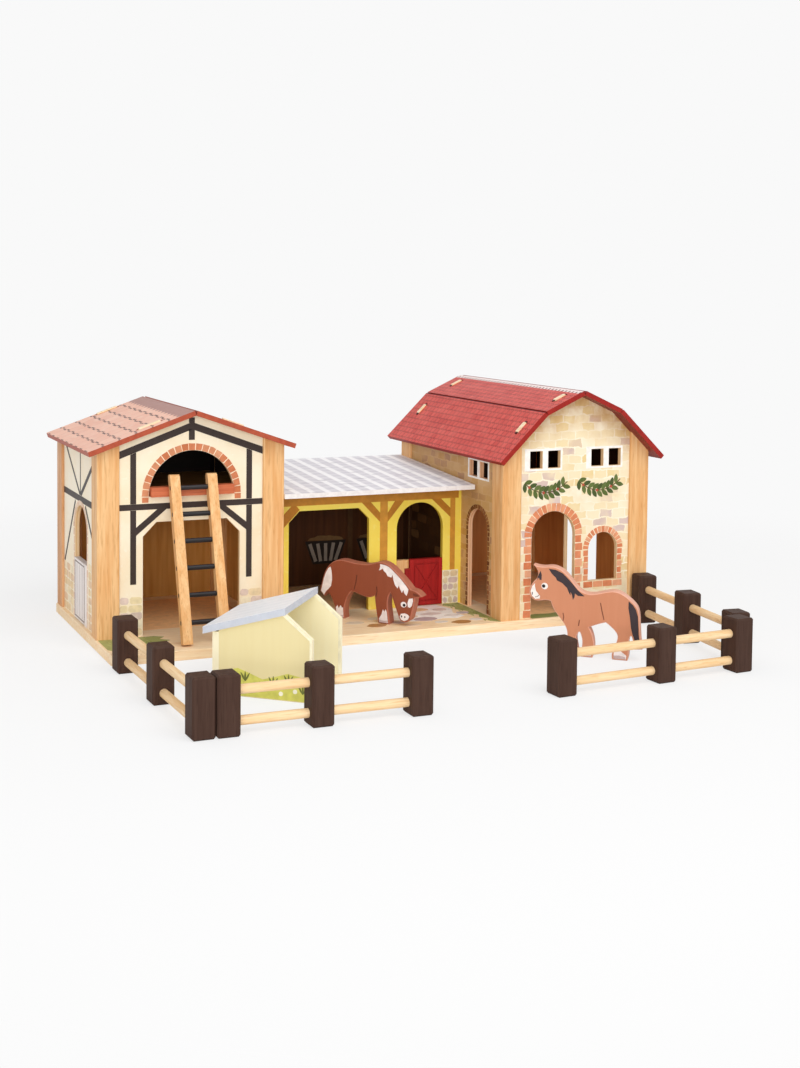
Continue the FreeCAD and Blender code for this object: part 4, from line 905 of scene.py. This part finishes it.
# %% Barn sides
barn_left = upright("barn_wall_left", "left")
# darker copies of the bricks, painted shade on this side wall
SHADED_BRICKS = ("#8A5530", "#7A4828", "#96623A", "#6B3E22")
arch_shapes = arch_bricks(48.25, 98.5, 21.3, 25.6, 19, inks=SHADED_BRICKS)
for inner, outer in ((26.7, 22.6), (69.8, 73.9)):
    arch_shapes += stacked_bricks(inner, outer, WALL_FOOT, 98.2, 5.2, 1.0, inks=SHADED_BRICKS)
arch_shapes += pane_frame([(28.0, 45.5), (51.0, 68.5)], 154.0, 171.0, left=3.0, right=3.0)
plates("barn_left_bricks", "building", barn_left, arch_shapes)
barn_right = upright("barn_wall_right", "right")
gate_shapes = arch_bricks(110.75, 93.5, 34.3, 43.0, 19)
for inner, outer in ((76.2, 67.6), (145.3, 153.9)):
    gate_shapes += stacked_bricks(inner, outer, WALL_FOOT, 93.2, 8.6, 1.6)
plates("barn_right_bricks", "building", barn_right, gate_shapes)

# %% [markdown]
# ## Dark rooms
# Three rooms are seen only through an opening: the stall between tower and barn, the tower's loft and the barn's
# attic. Their insides get almost black-brown plates, painted shade, so that they look deep. The painted shade covers
# the walls and the corner posts that show.

# %% Dark stall
STALL_FRONT, STALL_BACK, STALL_LOW, STALL_TOP = 94.5, 209.0, 10, 136.0
# painted shade for the stall, and darker copies of its stones
STALL_SHADE, STALL_SHADED_STONES = "#4C2E18", ("#6E4A2A", "#54351B", "#7A5632")
# shades keep a little clear of the edges of a post, and their corners are cut
POST_CLEAR, SHADE_CUT = 0.3, 0.5
stall_side = [(STALL_SHADE, eased(STALL_FRONT, STALL_BACK, STALL_LOW, STALL_TOP, SHADE_CUT))]
plates("stall_side_shade", "building", barn_left, stall_side, UNDER_MM)
plates("stall_side_stones", "building", barn_left,
       stone_rows(STALL_FRONT + 1, STALL_BACK - 1, STALL_LOW + 1, STALL_TOP - 1, STALL_SHADED_STONES, 10.5, 19.0, 0.5))
plates("stall_tower_shade", "building", upright("tower_wall_right", "right"), stall_side, UNDER_MM)
plates("stall_post_shade", "building", upright("barn_post_back_left", "left"),
       [(STALL_SHADE, eased(209.6, 231.8, STALL_LOW, STALL_TOP, SHADE_CUT))], UNDER_MM)
stall_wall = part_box("barn_wall_left")[0].x / MM
stall_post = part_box("barn_post_back_left")[0].x / MM + POST_CLEAR
plates("stall_post_front", "building", upright("barn_post_back_left", "front"),
       [(STALL_SHADE, eased(stall_post, stall_wall, STALL_LOW, STALL_TOP, SHADE_CUT))], UNDER_MM)

# %% Dark loft and attic
# painted shade for the loft and the attic
LOFT_SHADE, ATTIC_SHADE = "#180D07", "#2C180D"
loft_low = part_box("loft_floor")[1].z / MM + 0.1
LOFT_BACK = [(-275, loft_low), (-123.5, loft_low), (-123.5, 193), (TOWER_MIDDLE, 219), (-275, 193)]
ATTIC_BACK = ((-66, 118), (66, 118), (66, 200), (44, 222), (0, 242), (-44, 222), (-66, 200))
plates("tower_dark_back", "building", upright("tower_wall_back", "front"), [(LOFT_SHADE, LOFT_BACK)])
plates("barn_dark_back", "building", upright("barn_wall_back", "front"),
       [(ATTIC_SHADE, [(BARN_MIDDLE + x, z) for x, z in ATTIC_BACK])])
# each house: its shade, its lowest and highest point, and the parts of its walls to darken, clear of the barn's panes
loft_side = [(76, 208.5, loft_low, 195)]
DARK = {"tower": (LOFT_SHADE, loft_low, 193.0, {"left": loft_side, "right": loft_side}),
        "barn": (ATTIC_SHADE, 131.0, 180.0, {"left": [(72, 208, 131, 180), (12, 71, 131, 151)],
                                             "right": [(12, 208, 131, 180)]})}
for house, (shade, bottom, top, walls) in DARK.items():
    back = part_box(f"{house}_wall_back")[0].y / MM
    for side, inward in (("left", "right"), ("right", "left")):
        corner_post = f"{house}_post_back_{side}"
        wall, post = upright(f"{house}_wall_{side}", inward), upright(corner_post, inward)
        plates(f"{house}_dark_wall_{side}", "building", wall,
               [(shade, eased(*area, 1.0)) for area in walls[side]])
        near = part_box(corner_post)[0].y / MM + POST_CLEAR
        plates(f"{house}_dark_post_{side}", "building", post,
               [(shade, eased(near, back, bottom, top, SHADE_CUT))], UNDER_MM)
        first, last = sorted((wall.origin.x / MM, post.origin.x / MM - POST_CLEAR * post.out.x))
        plates(f"{house}_dark_corner_{side}", "building", upright(corner_post, "front"),
               [(shade, eased(first, last, bottom, top, SHADE_CUT))], UNDER_MM)

# %% [markdown]
# ## Laurel swags
# Two plain swags of laurel hang over the barn's doorway. Each is a hanging stem with leaves in pairs, and a red berry
# at every third pair. The leaves are large for the wall, so that they still show from arm's length.

# %% Laurel swags
LEAVES = ("#55642F", "#47552A", "#62703A")
STEM_BROWN, BERRY_RED = "#5B4A2C", "#B5503C"
SWAG_STEPS, LEAF_STEPS, LEAF_LONG, LEAF_WIDE, LEAF_TURN, BERRY_MM = 9, 8, 10.0, 4.8, 0.85, 1.5


def dot(x, z, wide, tall, points=20):
    """An oval spot."""
    return [(x + wide * math.cos(a), z + tall * math.sin(a)) for a in [math.tau * i / points for i in range(points)]]


def leaf(x, z, angle, length, width):
    """A pointed oval that grows from a point."""
    across, out = [], []
    for i in range(LEAF_STEPS + 1):
        t = i / LEAF_STEPS
        half = width / 2 * math.sin(math.pi * t) ** 0.8
        across.append((t * length, half))
        out.append((t * length, -half))
    ring = across + out[-2:0:-1]
    c, s = math.cos(angle), math.sin(angle)
    return [(x + c * u - s * v, z + s * u + c * v) for u, v in ring]


def swag(left, right, high, sag):
    """A hanging stem with paired leaves, and a berry at every third pair."""
    stem = []
    for i in range(SWAG_STEPS + 1):
        t = i / SWAG_STEPS
        stem.append((left + (right - left) * t, high - sag * 4 * t * (1 - t)))
    shapes = [(STEM_BROWN, bar(a, b, 1.0)) for a, b in zip(stem, stem[1:])]
    berries = []
    for i, (a, b) in enumerate(zip(stem, stem[1:])):
        heading = math.atan2(b[1] - a[1], b[0] - a[0])
        shapes += [(LEAVES[(i + k) % 3], leaf(*a, heading + turn, LEAF_LONG, LEAF_WIDE))
                   for k, turn in enumerate((LEAF_TURN, -LEAF_TURN))]
        if i % 3 == 1:
            berries.append((BERRY_RED, dot(*a, BERRY_MM, BERRY_MM, 10)))
    return shapes, berries


leaves, berries = [], []
for left, right in ((147, 199), (213, 265)):
    more_leaves, more_berries = swag(left, right, 153.0, 11.0)
    leaves += more_leaves
    berries += more_berries
plates("laurel_swags", "building", barn_front, leaves, OVER_MM)
plates("laurel_berries", "building", barn_front, berries, UPPERMOST_MM)

# %% [markdown]
# ## Tenon tips and room floors
# The gables reach through the roof boards, and the tips of their tenons are bare pale plywood. They stand a little
# prouder than the modelled tenons and are the only raised shapes added here. At both ends of each tip on the barn a
# dark plate is painted shade, as if the slots were longer than the tenons. The floors of the rooms are painted honey
# brown: painted shade warmed by light bounced from the walls.

# %% Tenon tips
SAWN_PALE = "#FAE9CC"
tip_wood = lacquered_wood("plywood_sawn_tip", SAWN_PALE, "#F2D9B2", "#DFC093", "y")
TIP_HALF, TIP_CUT, TIP_PROUD = 2.4, 0.7, 1.0
# the dark slot ends are painted shade
SLOT_SHADE, SLOT_HALF, SLOT_SHOWS, SLOT_END = "#45100F", 2.2, 2.0, 2.6
# each house: its middle, and the places of its two gables from front to back
GABLES = {"tower": (TOWER_MIDDLE, (57.75, 226.75)), "barn": (BARN_MIDDLE, (-3.25, 226.75))}
# each tip: its place out from the ridge and up, the slope it stands on, and its length
TIPS = {"tower": [(43.93, 220.56, TOWER_SLOPE, 23.6)],
        "barn": [(65.96, 212.19, BARN_LOW, 13.6), (20.02, 242.43, BARN_HIGH, 13.6)]}
for house, (middle, rows) in GABLES.items():
    for hand, side in ((-1, "left"), (1, "right")):
        for number, (out, z, slope, length) in enumerate(TIPS[house], 1):
            outward, down = pitch(*slope, hand)
            face = Face(Vector((middle + hand * out, 0, z)) * MM, Vector(BACK), -Vector(down), Vector(outward))
            half = length / 2
            tips = [(SAWN_PALE, eased(y - TIP_HALF, y + TIP_HALF, -half, half, TIP_CUT)) for y in rows]
            plates(f"{house}_tenon_tips_{side}_{number}", "building", face, tips, TIP_PROUD, tip_wood)
            if house == "barn":
                ends = [(SLOT_SHADE, eased(y - SLOT_HALF, y + SLOT_HALF, low, low + SLOT_END, 1.0))
                        for y in rows for low in (-half - SLOT_SHOWS, half + SLOT_SHOWS - SLOT_END)]
                plates(f"barn_slot_ends_{side}_{number}", "building", face, ends)

# %% Room floors
yard = Face(Vector((0, 0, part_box("base_board")[1].z)), Vector(RIGHT), Vector(BACK), Vector(TOP))
# painted shade warmed by light bounced from the walls
HONEY_BOUNCE = "#FBC58C"
# each room: left, right, front and back
ROOMS = [(-274, -124, 78, 208), (-97, 116, 96, 223), (142.6, 276, 2, 208)]
plates("room_floors", "building", yard, [(HONEY_BOUNCE, eased(*room, 2.0)) for room in ROOMS], UNDER_MM)

# %% [markdown]
# ## Grass and cobbles on the base
# The base carries brushed patches of grass at the feet of the walls, a pale path and a scatter of cobbles in the yard.

# %% Grass
def blob(x, y, wide, tall, points=14, rough=0.12):
    """A rounded, uneven spot."""
    shape = []
    for i in range(points):
        angle = math.tau * i / points
        swell = 1 + hand_drawn.uniform(-rough, rough)
        shape.append((x + wide * swell * math.cos(angle), y + tall * swell * math.sin(angle)))
    return shape


GRASS = ("#A0A464", "#B4B573", "#8C9050")
grass_shapes = [
    (GRASS[0], [(-296.8, 52), (-296.8, 14), (-290, 4), (-283, 9), (-276, 2), (-268, 6), (-258, -4), (-249, 0),
                (-240, -6), (-236, 3), (-243, 11), (-232, 16), (-240, 25), (-229, 31), (-238, 39), (-231, 46),
                (-240, 51.5)]),
    (GRASS[0], [(119, 85.5), (101, 85.5), (96, 78), (106, 68), (101, 58), (110, 46), (105, 36), (113, 27),
                (108, 17), (114, 8), (110, -2), (119, -9.2)]),
    (GRASS[2], [(157.2, -8), (209, -8), (209, 7), (198, 9), (186, 6), (172, 9), (157.2, 6)]),
    (GRASS[1], [(-113, 51.5), (-126, 46), (-118, 38), (-124, 30), (-110, 34), (-100, 42), (-96, 60), (-97, 84),
                (-100, 85)])]
plates("yard_grass", "building", yard, grass_shapes)
BLADES, BLADE_LONG, BLADE_WIDE = 34, 8, 1.6
# each patch: from left to right, and from front to back
PATCHES = [((-290, -246), (4, 46)), ((100, 117), (-6, 80))]
blades = []
for wide, deep in PATCHES:
    for i in range(BLADES):
        x, y = hand_drawn.uniform(*wide), hand_drawn.uniform(*deep)
        blades.append((hand_drawn.choice(GRASS[1:]), leaf(x, y, hand_drawn.uniform(0.9, 2.2), BLADE_LONG, BLADE_WIDE)))
plates("yard_blades", "building", yard, blades, OVER_MM)

# %% Path and cobbles
PATH = [(20, 84), (92, 84), (98, 62), (92, 44), (98, 28), (84, 20), (70, 24), (52, 20), (30, 24), (14, 36), (24, 52),
        (12, 66)]
PATH_WHITE, PATH_NUDGE = "#FBF5EF", 1.5
plates("yard_path", "building", yard, [(PATH_WHITE, nudge(PATH, PATH_NUDGE))], UNDER_MM)
# each cobble: its middle, its half width and half depth, and its ink
COBBLES = [(-10, 19, 11, 7, "#B58050"), (18, 24, 9, 6, "#B39E9E"), (50, 27, 14, 8, "#BDA6A8"),
           (38, 43, 11, 6, "#E9D3C0"), (80, 4, 11, 7, "#B27C46"), (60, 11, 8, 4.5, "#E9DDD0"),
           (101, 41, 8, 5, "#CBBABD"), (66, 46, 12, 6, "#DCCBC4"), (60, 68, 13, 7, "#E9C49A"),
           (84, 62, 9, 6, "#D9C6BE"), (36, 66, 11, 6, "#E6D8CC"), (26, 8, 9, 5, "#E6D2B6"),
           (-28, 36, 10, 6, "#E3CFB4"), (84, 34, 9, 5, "#E8DCD4"), (100, 10, 7, 5, "#E9DDD2"),
           (0, 46, 9, 6, "#E9DBCB")]
plates("yard_cobbles", "building", yard,
       [(code, blob(x, y, wide, tall)) for x, y, wide, tall, code in COBBLES])

# %% [markdown]
# ## Side door boards and the shelter's meadow
# The tower's side door is printed as whitewashed planks in a thin frame. The shelter's front has a strip of meadow, and
# the sloping edges of both gables are left pale.

# %% Door boards
low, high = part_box("side_door_leaf")
first, last, door_low, door_high = low.y / MM, high.y / MM, low.z / MM, high.z / MM
door_face = upright("side_door_leaf", "left")
PLANK_LINE, DOOR_LINE, LINE_WIDE = "#BDB1AD", "#8F8079", 1.2
planks = [first + (last - first) * i / 4 for i in (1, 2, 3)]
door_shapes = [(PLANK_LINE, bar((y, door_low + 5), (y, door_high - 5), 0.8)) for y in planks]
for z in (door_low + 3, door_high - 3):
    door_shapes.append((DOOR_LINE, bar((first + 2.5, z), (last - 2.5, z), LINE_WIDE)))
for y in (first + 3, last - 3):
    door_shapes.append((DOOR_LINE, bar((y, door_low + 3.8), (y, door_high - 3.8), LINE_WIDE)))
plates("side_door_boards", "side_door", door_face, door_shapes)

# %% Meadow strip
MEADOW, TUFT, BLOSSOM = "#D8D468", "#6F7438", "#F7F3E0"
gable_face = Face(SHELTER.origin, SHELTER.across, Vector(TOP), -SHELTER.back)
hills = [(8, 0.8), (89.6, 0.8), (89.6, 17), (82, 22), (70, 24), (58, 20), (47, 17), (36, 21), (24, 25), (14, 22),
         (8, 17)]
plates("shelter_meadow", "shelter", gable_face, [(MEADOW, hills)])
tufts = []
for x, z in ((16, 8), (31, 14), (44, 6), (57, 12), (71, 15), (84, 7)):
    tufts += [(TUFT, leaf(x, z, math.pi / 2 + lean, 9, 1.7)) for lean in (-0.5, 0, 0.5)]
for x, z in ((23, 15), (38, 8), (50, 13), (64, 6), (77, 9)):
    tufts.append((BLOSSOM, blob(x, z, 2.0, 2.0, 12, 0.04)))
plates("shelter_tufts", "shelter", gable_face, tufts, OVER_MM)
SHELTER_DEEP = 87
EDGE = [(65.2, 74.4), (67.95, 75.3), (92.3, 55.4), (92.3, 0.3), (89.9, 0.3), (89.9, 54.3)]
back_gable = Face(SHELTER.origin + SHELTER.back * SHELTER_DEEP * MM, SHELTER.across, Vector(TOP), -SHELTER.back)
plates("shelter_front_edge", "shelter", gable_face, [(PALE_PRIMROSE[0], EDGE)])
plates("shelter_back_edge", "shelter", back_gable, [(PALE_PRIMROSE[0], EDGE)])

# %% [markdown]
# ## Horse markings
# Both horses are painted on both faces: mane, tail, white patches, hooves, eyes and a few thin lines that part the legs
# from the body. The outlines keep a millimetre inside the sawn edge, where the rim is chamfered.

# %% Markings of the mare
def strokes(points, width):
    """Thin bars from point to point."""
    return [bar(a, b, width) for a, b in zip(points, points[1:])]


def both_faces(name, body, stand, thick, shapes, proud):
    """The same plates on the near and the far face of a sawn board."""
    near = Face(stand.origin, stand.across, Vector(TOP), -stand.back)
    far = Face(stand.origin + stand.back * thick * MM, stand.across, Vector(TOP), stand.back)
    plates(f"{name}_near", body, near, shapes, proud)
    plates(f"{name}_far", body, far, shapes, proud)


HORSE_THICK, CREASE_WIDE = 13.0, 0.8
MANE_WHITE, HOOF, EYE_DARK = "#EDE4E2", "#CDB9B8", "#2B2022"
EAR_BROWN, CREASE_BROWN = "#6E3624", "#5E2E1E"
mare_shapes = [
    (MANE_WHITE, [(-5.0, 62.2), (1.6, 61.2), (5.0, 59.9), (8.6, 57.3), (12.4, 54.0), (16.8, 50.2), (20.5, 46.6),
                  (24.5, 42.3), (27.2, 38.9), (26.7, 36.2), (25.1, 32.1), (22.4, 34.9), (21.6, 38.0), (20.0, 34.7),
                  (17.7, 38.6), (16.5, 42.1), (14.9, 38.8), (12.0, 42.1), (10.3, 47.2), (9.1, 52.4), (8.0, 49.5),
                  (4.0, 50.1), (1.7, 53.5), (-0.6, 55.4), (-2.3, 57.8), (-4.0, 56.1), (-6.2, 55.3), (-4.8, 59.2)]),
    (MANE_WHITE, [(-62.5, 53.6), (-61.4, 50), (-60.7, 45), (-60.6, 39.6), (-61.8, 33), (-65.2, 28.9),
                  (-67.4, 27.2), (-69.9, 22.9), (-73.4, 27.2), (-71.9, 33), (-70.3, 40), (-68, 46.5), (-65, 51.8)]),
    (MANE_WHITE, [(-1.3, 15), (0.3, 12.6), (1.8, 15.4), (3.0, 12.8), (3.7, 8), (4.6, 1.2), (-5.4, 1.2), (-5.6, 5),
                  (-2.8, 9.8)]),
    (MANE_WHITE, [(-55.8, 11), (-54, 13.6), (-52.4, 10.4), (-50.2, 14), (-48.6, 11), (-47.4, 12), (-47.3, 9),
                  (-46.8, 1.2), (-54.2, 1.2), (-54.8, 5)]),
    (MANE_WHITE, [(27.9, 29.4), (32.0, 30.2), (32.4, 27.5), (31.2, 22.5), (29.1, 20.2), (26.9, 20.9), (26.3, 25.0)]),
    (MANE_WHITE, [(17.7, 9.8), (19.1, 12.8), (23.6, 13.8), (27.0, 12.6), (28.5, 10.8), (26.8, 7.5), (23.0, 5.7),
                  (19.4, 6.8)]),
    (MANE_WHITE, dot(22.0, 22.7, 3.2, 2.9)),
    (EAR_BROWN, [(32.5, 35.6), (36.5, 35), (39.4, 33.5), (35, 32.4), (32.4, 33.6)])]
for line in ([(-31.5, 48), (-32.6, 40.5), (-34.8, 31.8)], [(-9.6, 27), (-8.2, 33), (-8.8, 38)]):
    mare_shapes += [(CREASE_BROWN, s) for s in strokes(line, CREASE_WIDE)]
both_faces("mare_markings", "mare", MARE, HORSE_THICK, mare_shapes, PROUD_MM)
EYE_AND_NOSTRILS = ((22.6, 22.2, 1.7, 1.6), (19.9, 10.2, 0.7, 1.1), (23.6, 9.9, 0.7, 1.1))
mare_details = [(EYE_DARK, dot(*spot)) for spot in EYE_AND_NOSTRILS]
mare_details += [(HOOF, [(-5.3, 1.3), (4.5, 1.3), (4.1, 4), (0, 3.2), (-5.3, 3.8)]),
                 (HOOF, [(-54.1, 1.3), (-46.9, 1.3), (-47.0, 4), (-50, 3.3), (-54.4, 4.2)])]
both_faces("mare_details", "mare", MARE, HORSE_THICK, mare_details, OVER_MM)

# %% Markings of the foal
MANE_DARK, FOAL_WHITE, FOAL_SOCK, FOAL_HOOF, FOAL_CREASE = "#3B3034", "#F1E9E2", "#EFE4E0", "#D9C4C0", "#7A4632"
FOAL_EYE, NOSTRIL, MOUTH, HIND_HOOF = "#2B2426", "#4A3C3C", "#8C7A74", "#CBB3B0"
foal_shapes = [
    (MANE_DARK, [(-69.5, 84.2), (-62.6, 83.6), (-56, 80.7), (-50.3, 75.4), (-45.4, 70.0), (-41.1, 65.0),
                 (-34.7, 59.7), (-41.0, 59.7), (-43.9, 61.9), (-44.3, 58.4), (-45.7, 55.4), (-46.7, 60.2),
                 (-48.2, 63.1), (-48.2, 59.6), (-49.6, 62.0), (-51.6, 66.7), (-56.5, 71.3), (-61.4, 73.4),
                 (-62.4, 75.8), (-66.3, 79.4)]),
    (MANE_DARK, [(7.2, 58.0), (11.4, 54.4), (14.2, 50), (16.0, 44), (16.5, 36), (17.0, 27), (18.0, 19),
                 (19.0, 13.4), (13.8, 12.7), (13.4, 17), (12.7, 22.5), (11.2, 26.2), (9.7, 32.6), (8.6, 42.2),
                 (7.0, 51.8)]),
    (MANE_DARK, [(-78.4, 79.4), (-77.4, 81.8), (-76.2, 77.6), (-76.4, 72.6), (-78.2, 72.8), (-79, 75),
                 (-80.6, 72.3), (-80.2, 75.6)]),
    (FOAL_WHITE, [(-85.3, 66.0), (-82.7, 69.2), (-82.7, 66), (-81.6, 61.5), (-77.7, 56.8), (-77.9, 54.2),
                  (-82.2, 53.6), (-85.4, 56.2), (-86.8, 60.8)]),
    (FOAL_WHITE, dot(-73.2, 66.9, 3.2, 3.2)),
    (FOAL_HOOF, [(-50.6, 1.3), (-42.6, 1.3), (-42.4, 6.5), (-46, 8), (-50.2, 6.5)]),
    (FOAL_HOOF, [(-36.3, 1.3), (-27.6, 1.3), (-27.1, 7), (-31, 8.2), (-35.8, 6.6)]),
    (FOAL_SOCK, [(-6.2, 1.3), (5.6, 1.3), (5.8, 5), (1, 8.5), (-2, 10), (-6.0, 7.5)])]
for line in ([(-19.4, 54.5), (-17.9, 46.8), (-15.8, 38.2)], [(-55.1, 41.8), (-54.3, 37.9), (-55, 33.9)],
             [(-39.1, 36.2), (-40, 30.3)]):
    foal_shapes += [(FOAL_CREASE, s) for s in strokes(line, CREASE_WIDE)]
both_faces("foal_markings", "foal", FOAL, HORSE_THICK, foal_shapes, PROUD_MM)
foal_details = [(FOAL_EYE, dot(-74.2, 66.9, 1.7, 1.7)), (NOSTRIL, bar((-85.0, 60.2), (-85.0, 57.6), 0.8))]
foal_details += [(MOUTH, s) for s in strokes([(-82.5, 55.4), (-80.1, 56.0), (-78.4, 57.8)], 0.7)]
foal_details.append((HIND_HOOF, [(-6.0, 1.4), (5.4, 1.4), (4.6, 3.6), (-1, 4.6), (-6.0, 4.2)]))
both_faces("foal_details", "foal", FOAL, HORSE_THICK, foal_details, OVER_MM)

# %% [markdown]
# ## Floor, light and camera
# The toy stands on a pale floor that fades into a pale backdrop. One broad lamp stands high in front, a lower one by
# the camera lights the rooms, and an even sky fills the rest.
# The backdrop shows only to the camera and in reflections, so it adds no light to the toy.

# %% Floor
FLOOR_HALF, FLOOR_DROP, FLOOR_SHARE, FLOOR_LIFT, FADE_FROM, FADE_TO = 3.0, 0.0002, 0.28, 0.67, 0.55, 1.1
floor_mesh = bpy.data.meshes.new("floor")
floor_corners = [(x, y, -FLOOR_DROP) for x, y in rect(-FLOOR_HALF, FLOOR_HALF, -FLOOR_HALF, FLOOR_HALF)]
floor_mesh.from_pydata(floor_corners, [], [(0, 1, 2, 3)])
floor = bpy.data.objects.new("floor", floor_mesh)
bpy.context.scene.collection.objects.link(floor)
paper = bpy.data.materials.new("pale_matt_paper")
paper.use_nodes = True
tree = paper.node_tree
tree.nodes.clear()
matt = add(tree, "BsdfDiffuse", {"Color": (0.9, 0.9, 0.9, 1)})
soft = add(tree, "BsdfDiffuse", {"Color": (FLOOR_SHARE, FLOOR_SHARE, FLOOR_SHARE, 1)})
lift = add(tree, "Emission", {"Color": (1, 1, 1, 1), "Strength": FLOOR_LIFT})
pale = add(tree, "AddShader", [soft, lift])
seen = add(tree, "LightPath")
lit = add(tree, "MixShader", [seen.outputs["Is Camera Ray"], matt, pale])
clear = add(tree, "BsdfTransparent")
spot = add(tree, "TexCoord").outputs["Object"]
far = add(tree, "VectorMath", [spot], operation="LENGTH")
fade = add(tree, "MapRange", [far, FADE_FROM, FADE_TO], interpolation_type="SMOOTHSTEP")
ground = add(tree, "MixShader", [fade, lit, clear])
add(tree, "OutputMaterial", {"Surface": ground})
floor_mesh.materials.append(paper)
print("floor", 2 * FLOOR_HALF, "m wide")

# %% Light
SKY_STRENGTH, AIM = 0.64, Vector((0.0, 0.1, 0.08))
world = bpy.data.worlds.new("soft_studio")
bpy.context.scene.world = world
world.use_nodes = True
tree = world.node_tree
tree.nodes.clear()
path = add(tree, "LightPath")
shine = add(tree, "Math", [path.outputs["Is Camera Ray"], path.outputs["Is Glossy Ray"]], operation="MAXIMUM")
open_ray = add(tree, "Math", [shine, path.outputs["Is Transmission Ray"]], operation="MAXIMUM")
sky = add(tree, "Background", {"Color": (1, 1, 1, 1), "Strength": SKY_STRENGTH})
backdrop = add(tree, "Background", {"Color": linear("#F9F9F9"), "Strength": 1.0})
both = add(tree, "MixShader", [open_ray, sky, backdrop])
add(tree, "OutputWorld", {"Surface": both})


def softbox(name, place, wide, tall, watts):
    """A broad lamp that looks at the toy."""
    lamp = bpy.data.lights.new(name, "AREA")
    lamp.shape, lamp.size, lamp.size_y, lamp.energy = "RECTANGLE", wide, tall, watts
    holder = bpy.data.objects.new(name, lamp)
    bpy.context.scene.collection.objects.link(holder)
    holder.location = place
    holder.rotation_euler = (AIM - holder.location).to_track_quat("-Z", "Y").to_euler()
    print(name, watts, "W")


softbox("key_light", (0.3, -1.35, 2.0), 1.8, 1.4, 23.0)
softbox("fill_light", (-1.1, -2.1, 0.5), 1.8, 0.8, 21.0)
bpy.context.scene.view_settings.view_transform = "Standard"

# %% Camera
CAMERA_AT = (-0.63748, -1.31946, 0.36355)
YAW, PITCH, ROLL = math.radians(20.65), math.radians(3.0), math.radians(-0.31)
SENSOR_MM, IMAGE_TALL, FOCAL_PX = 36.0, 1068, 1443.93
CENTRE_PX, MIDDLE_PX = (267.06, 356.93), (400, 534)
ahead = Vector((math.sin(YAW) * math.cos(PITCH), math.cos(YAW) * math.cos(PITCH), -math.sin(PITCH)))
level = Vector((math.cos(YAW), -math.sin(YAW), 0))
below = ahead.cross(level)
right = level * math.cos(ROLL) + below * math.sin(ROLL)
down = below * math.cos(ROLL) - level * math.sin(ROLL)
camera_data = bpy.data.cameras.new("camera")
camera_data.sensor_width = SENSOR_MM
camera_data.lens = FOCAL_PX / IMAGE_TALL * SENSOR_MM
camera_data.shift_x = (MIDDLE_PX[0] - CENTRE_PX[0]) / IMAGE_TALL
camera_data.shift_y = (CENTRE_PX[1] - MIDDLE_PX[1]) / IMAGE_TALL
camera = bpy.data.objects.new("camera", camera_data)
bpy.context.scene.collection.objects.link(camera)
turn = Matrix((right, -down, -ahead)).transposed().to_4x4()
camera.matrix_world = Matrix.Translation(CAMERA_AT) @ turn
bpy.context.scene.camera = camera
print("lens", round(camera_data.lens, 2), "mm")
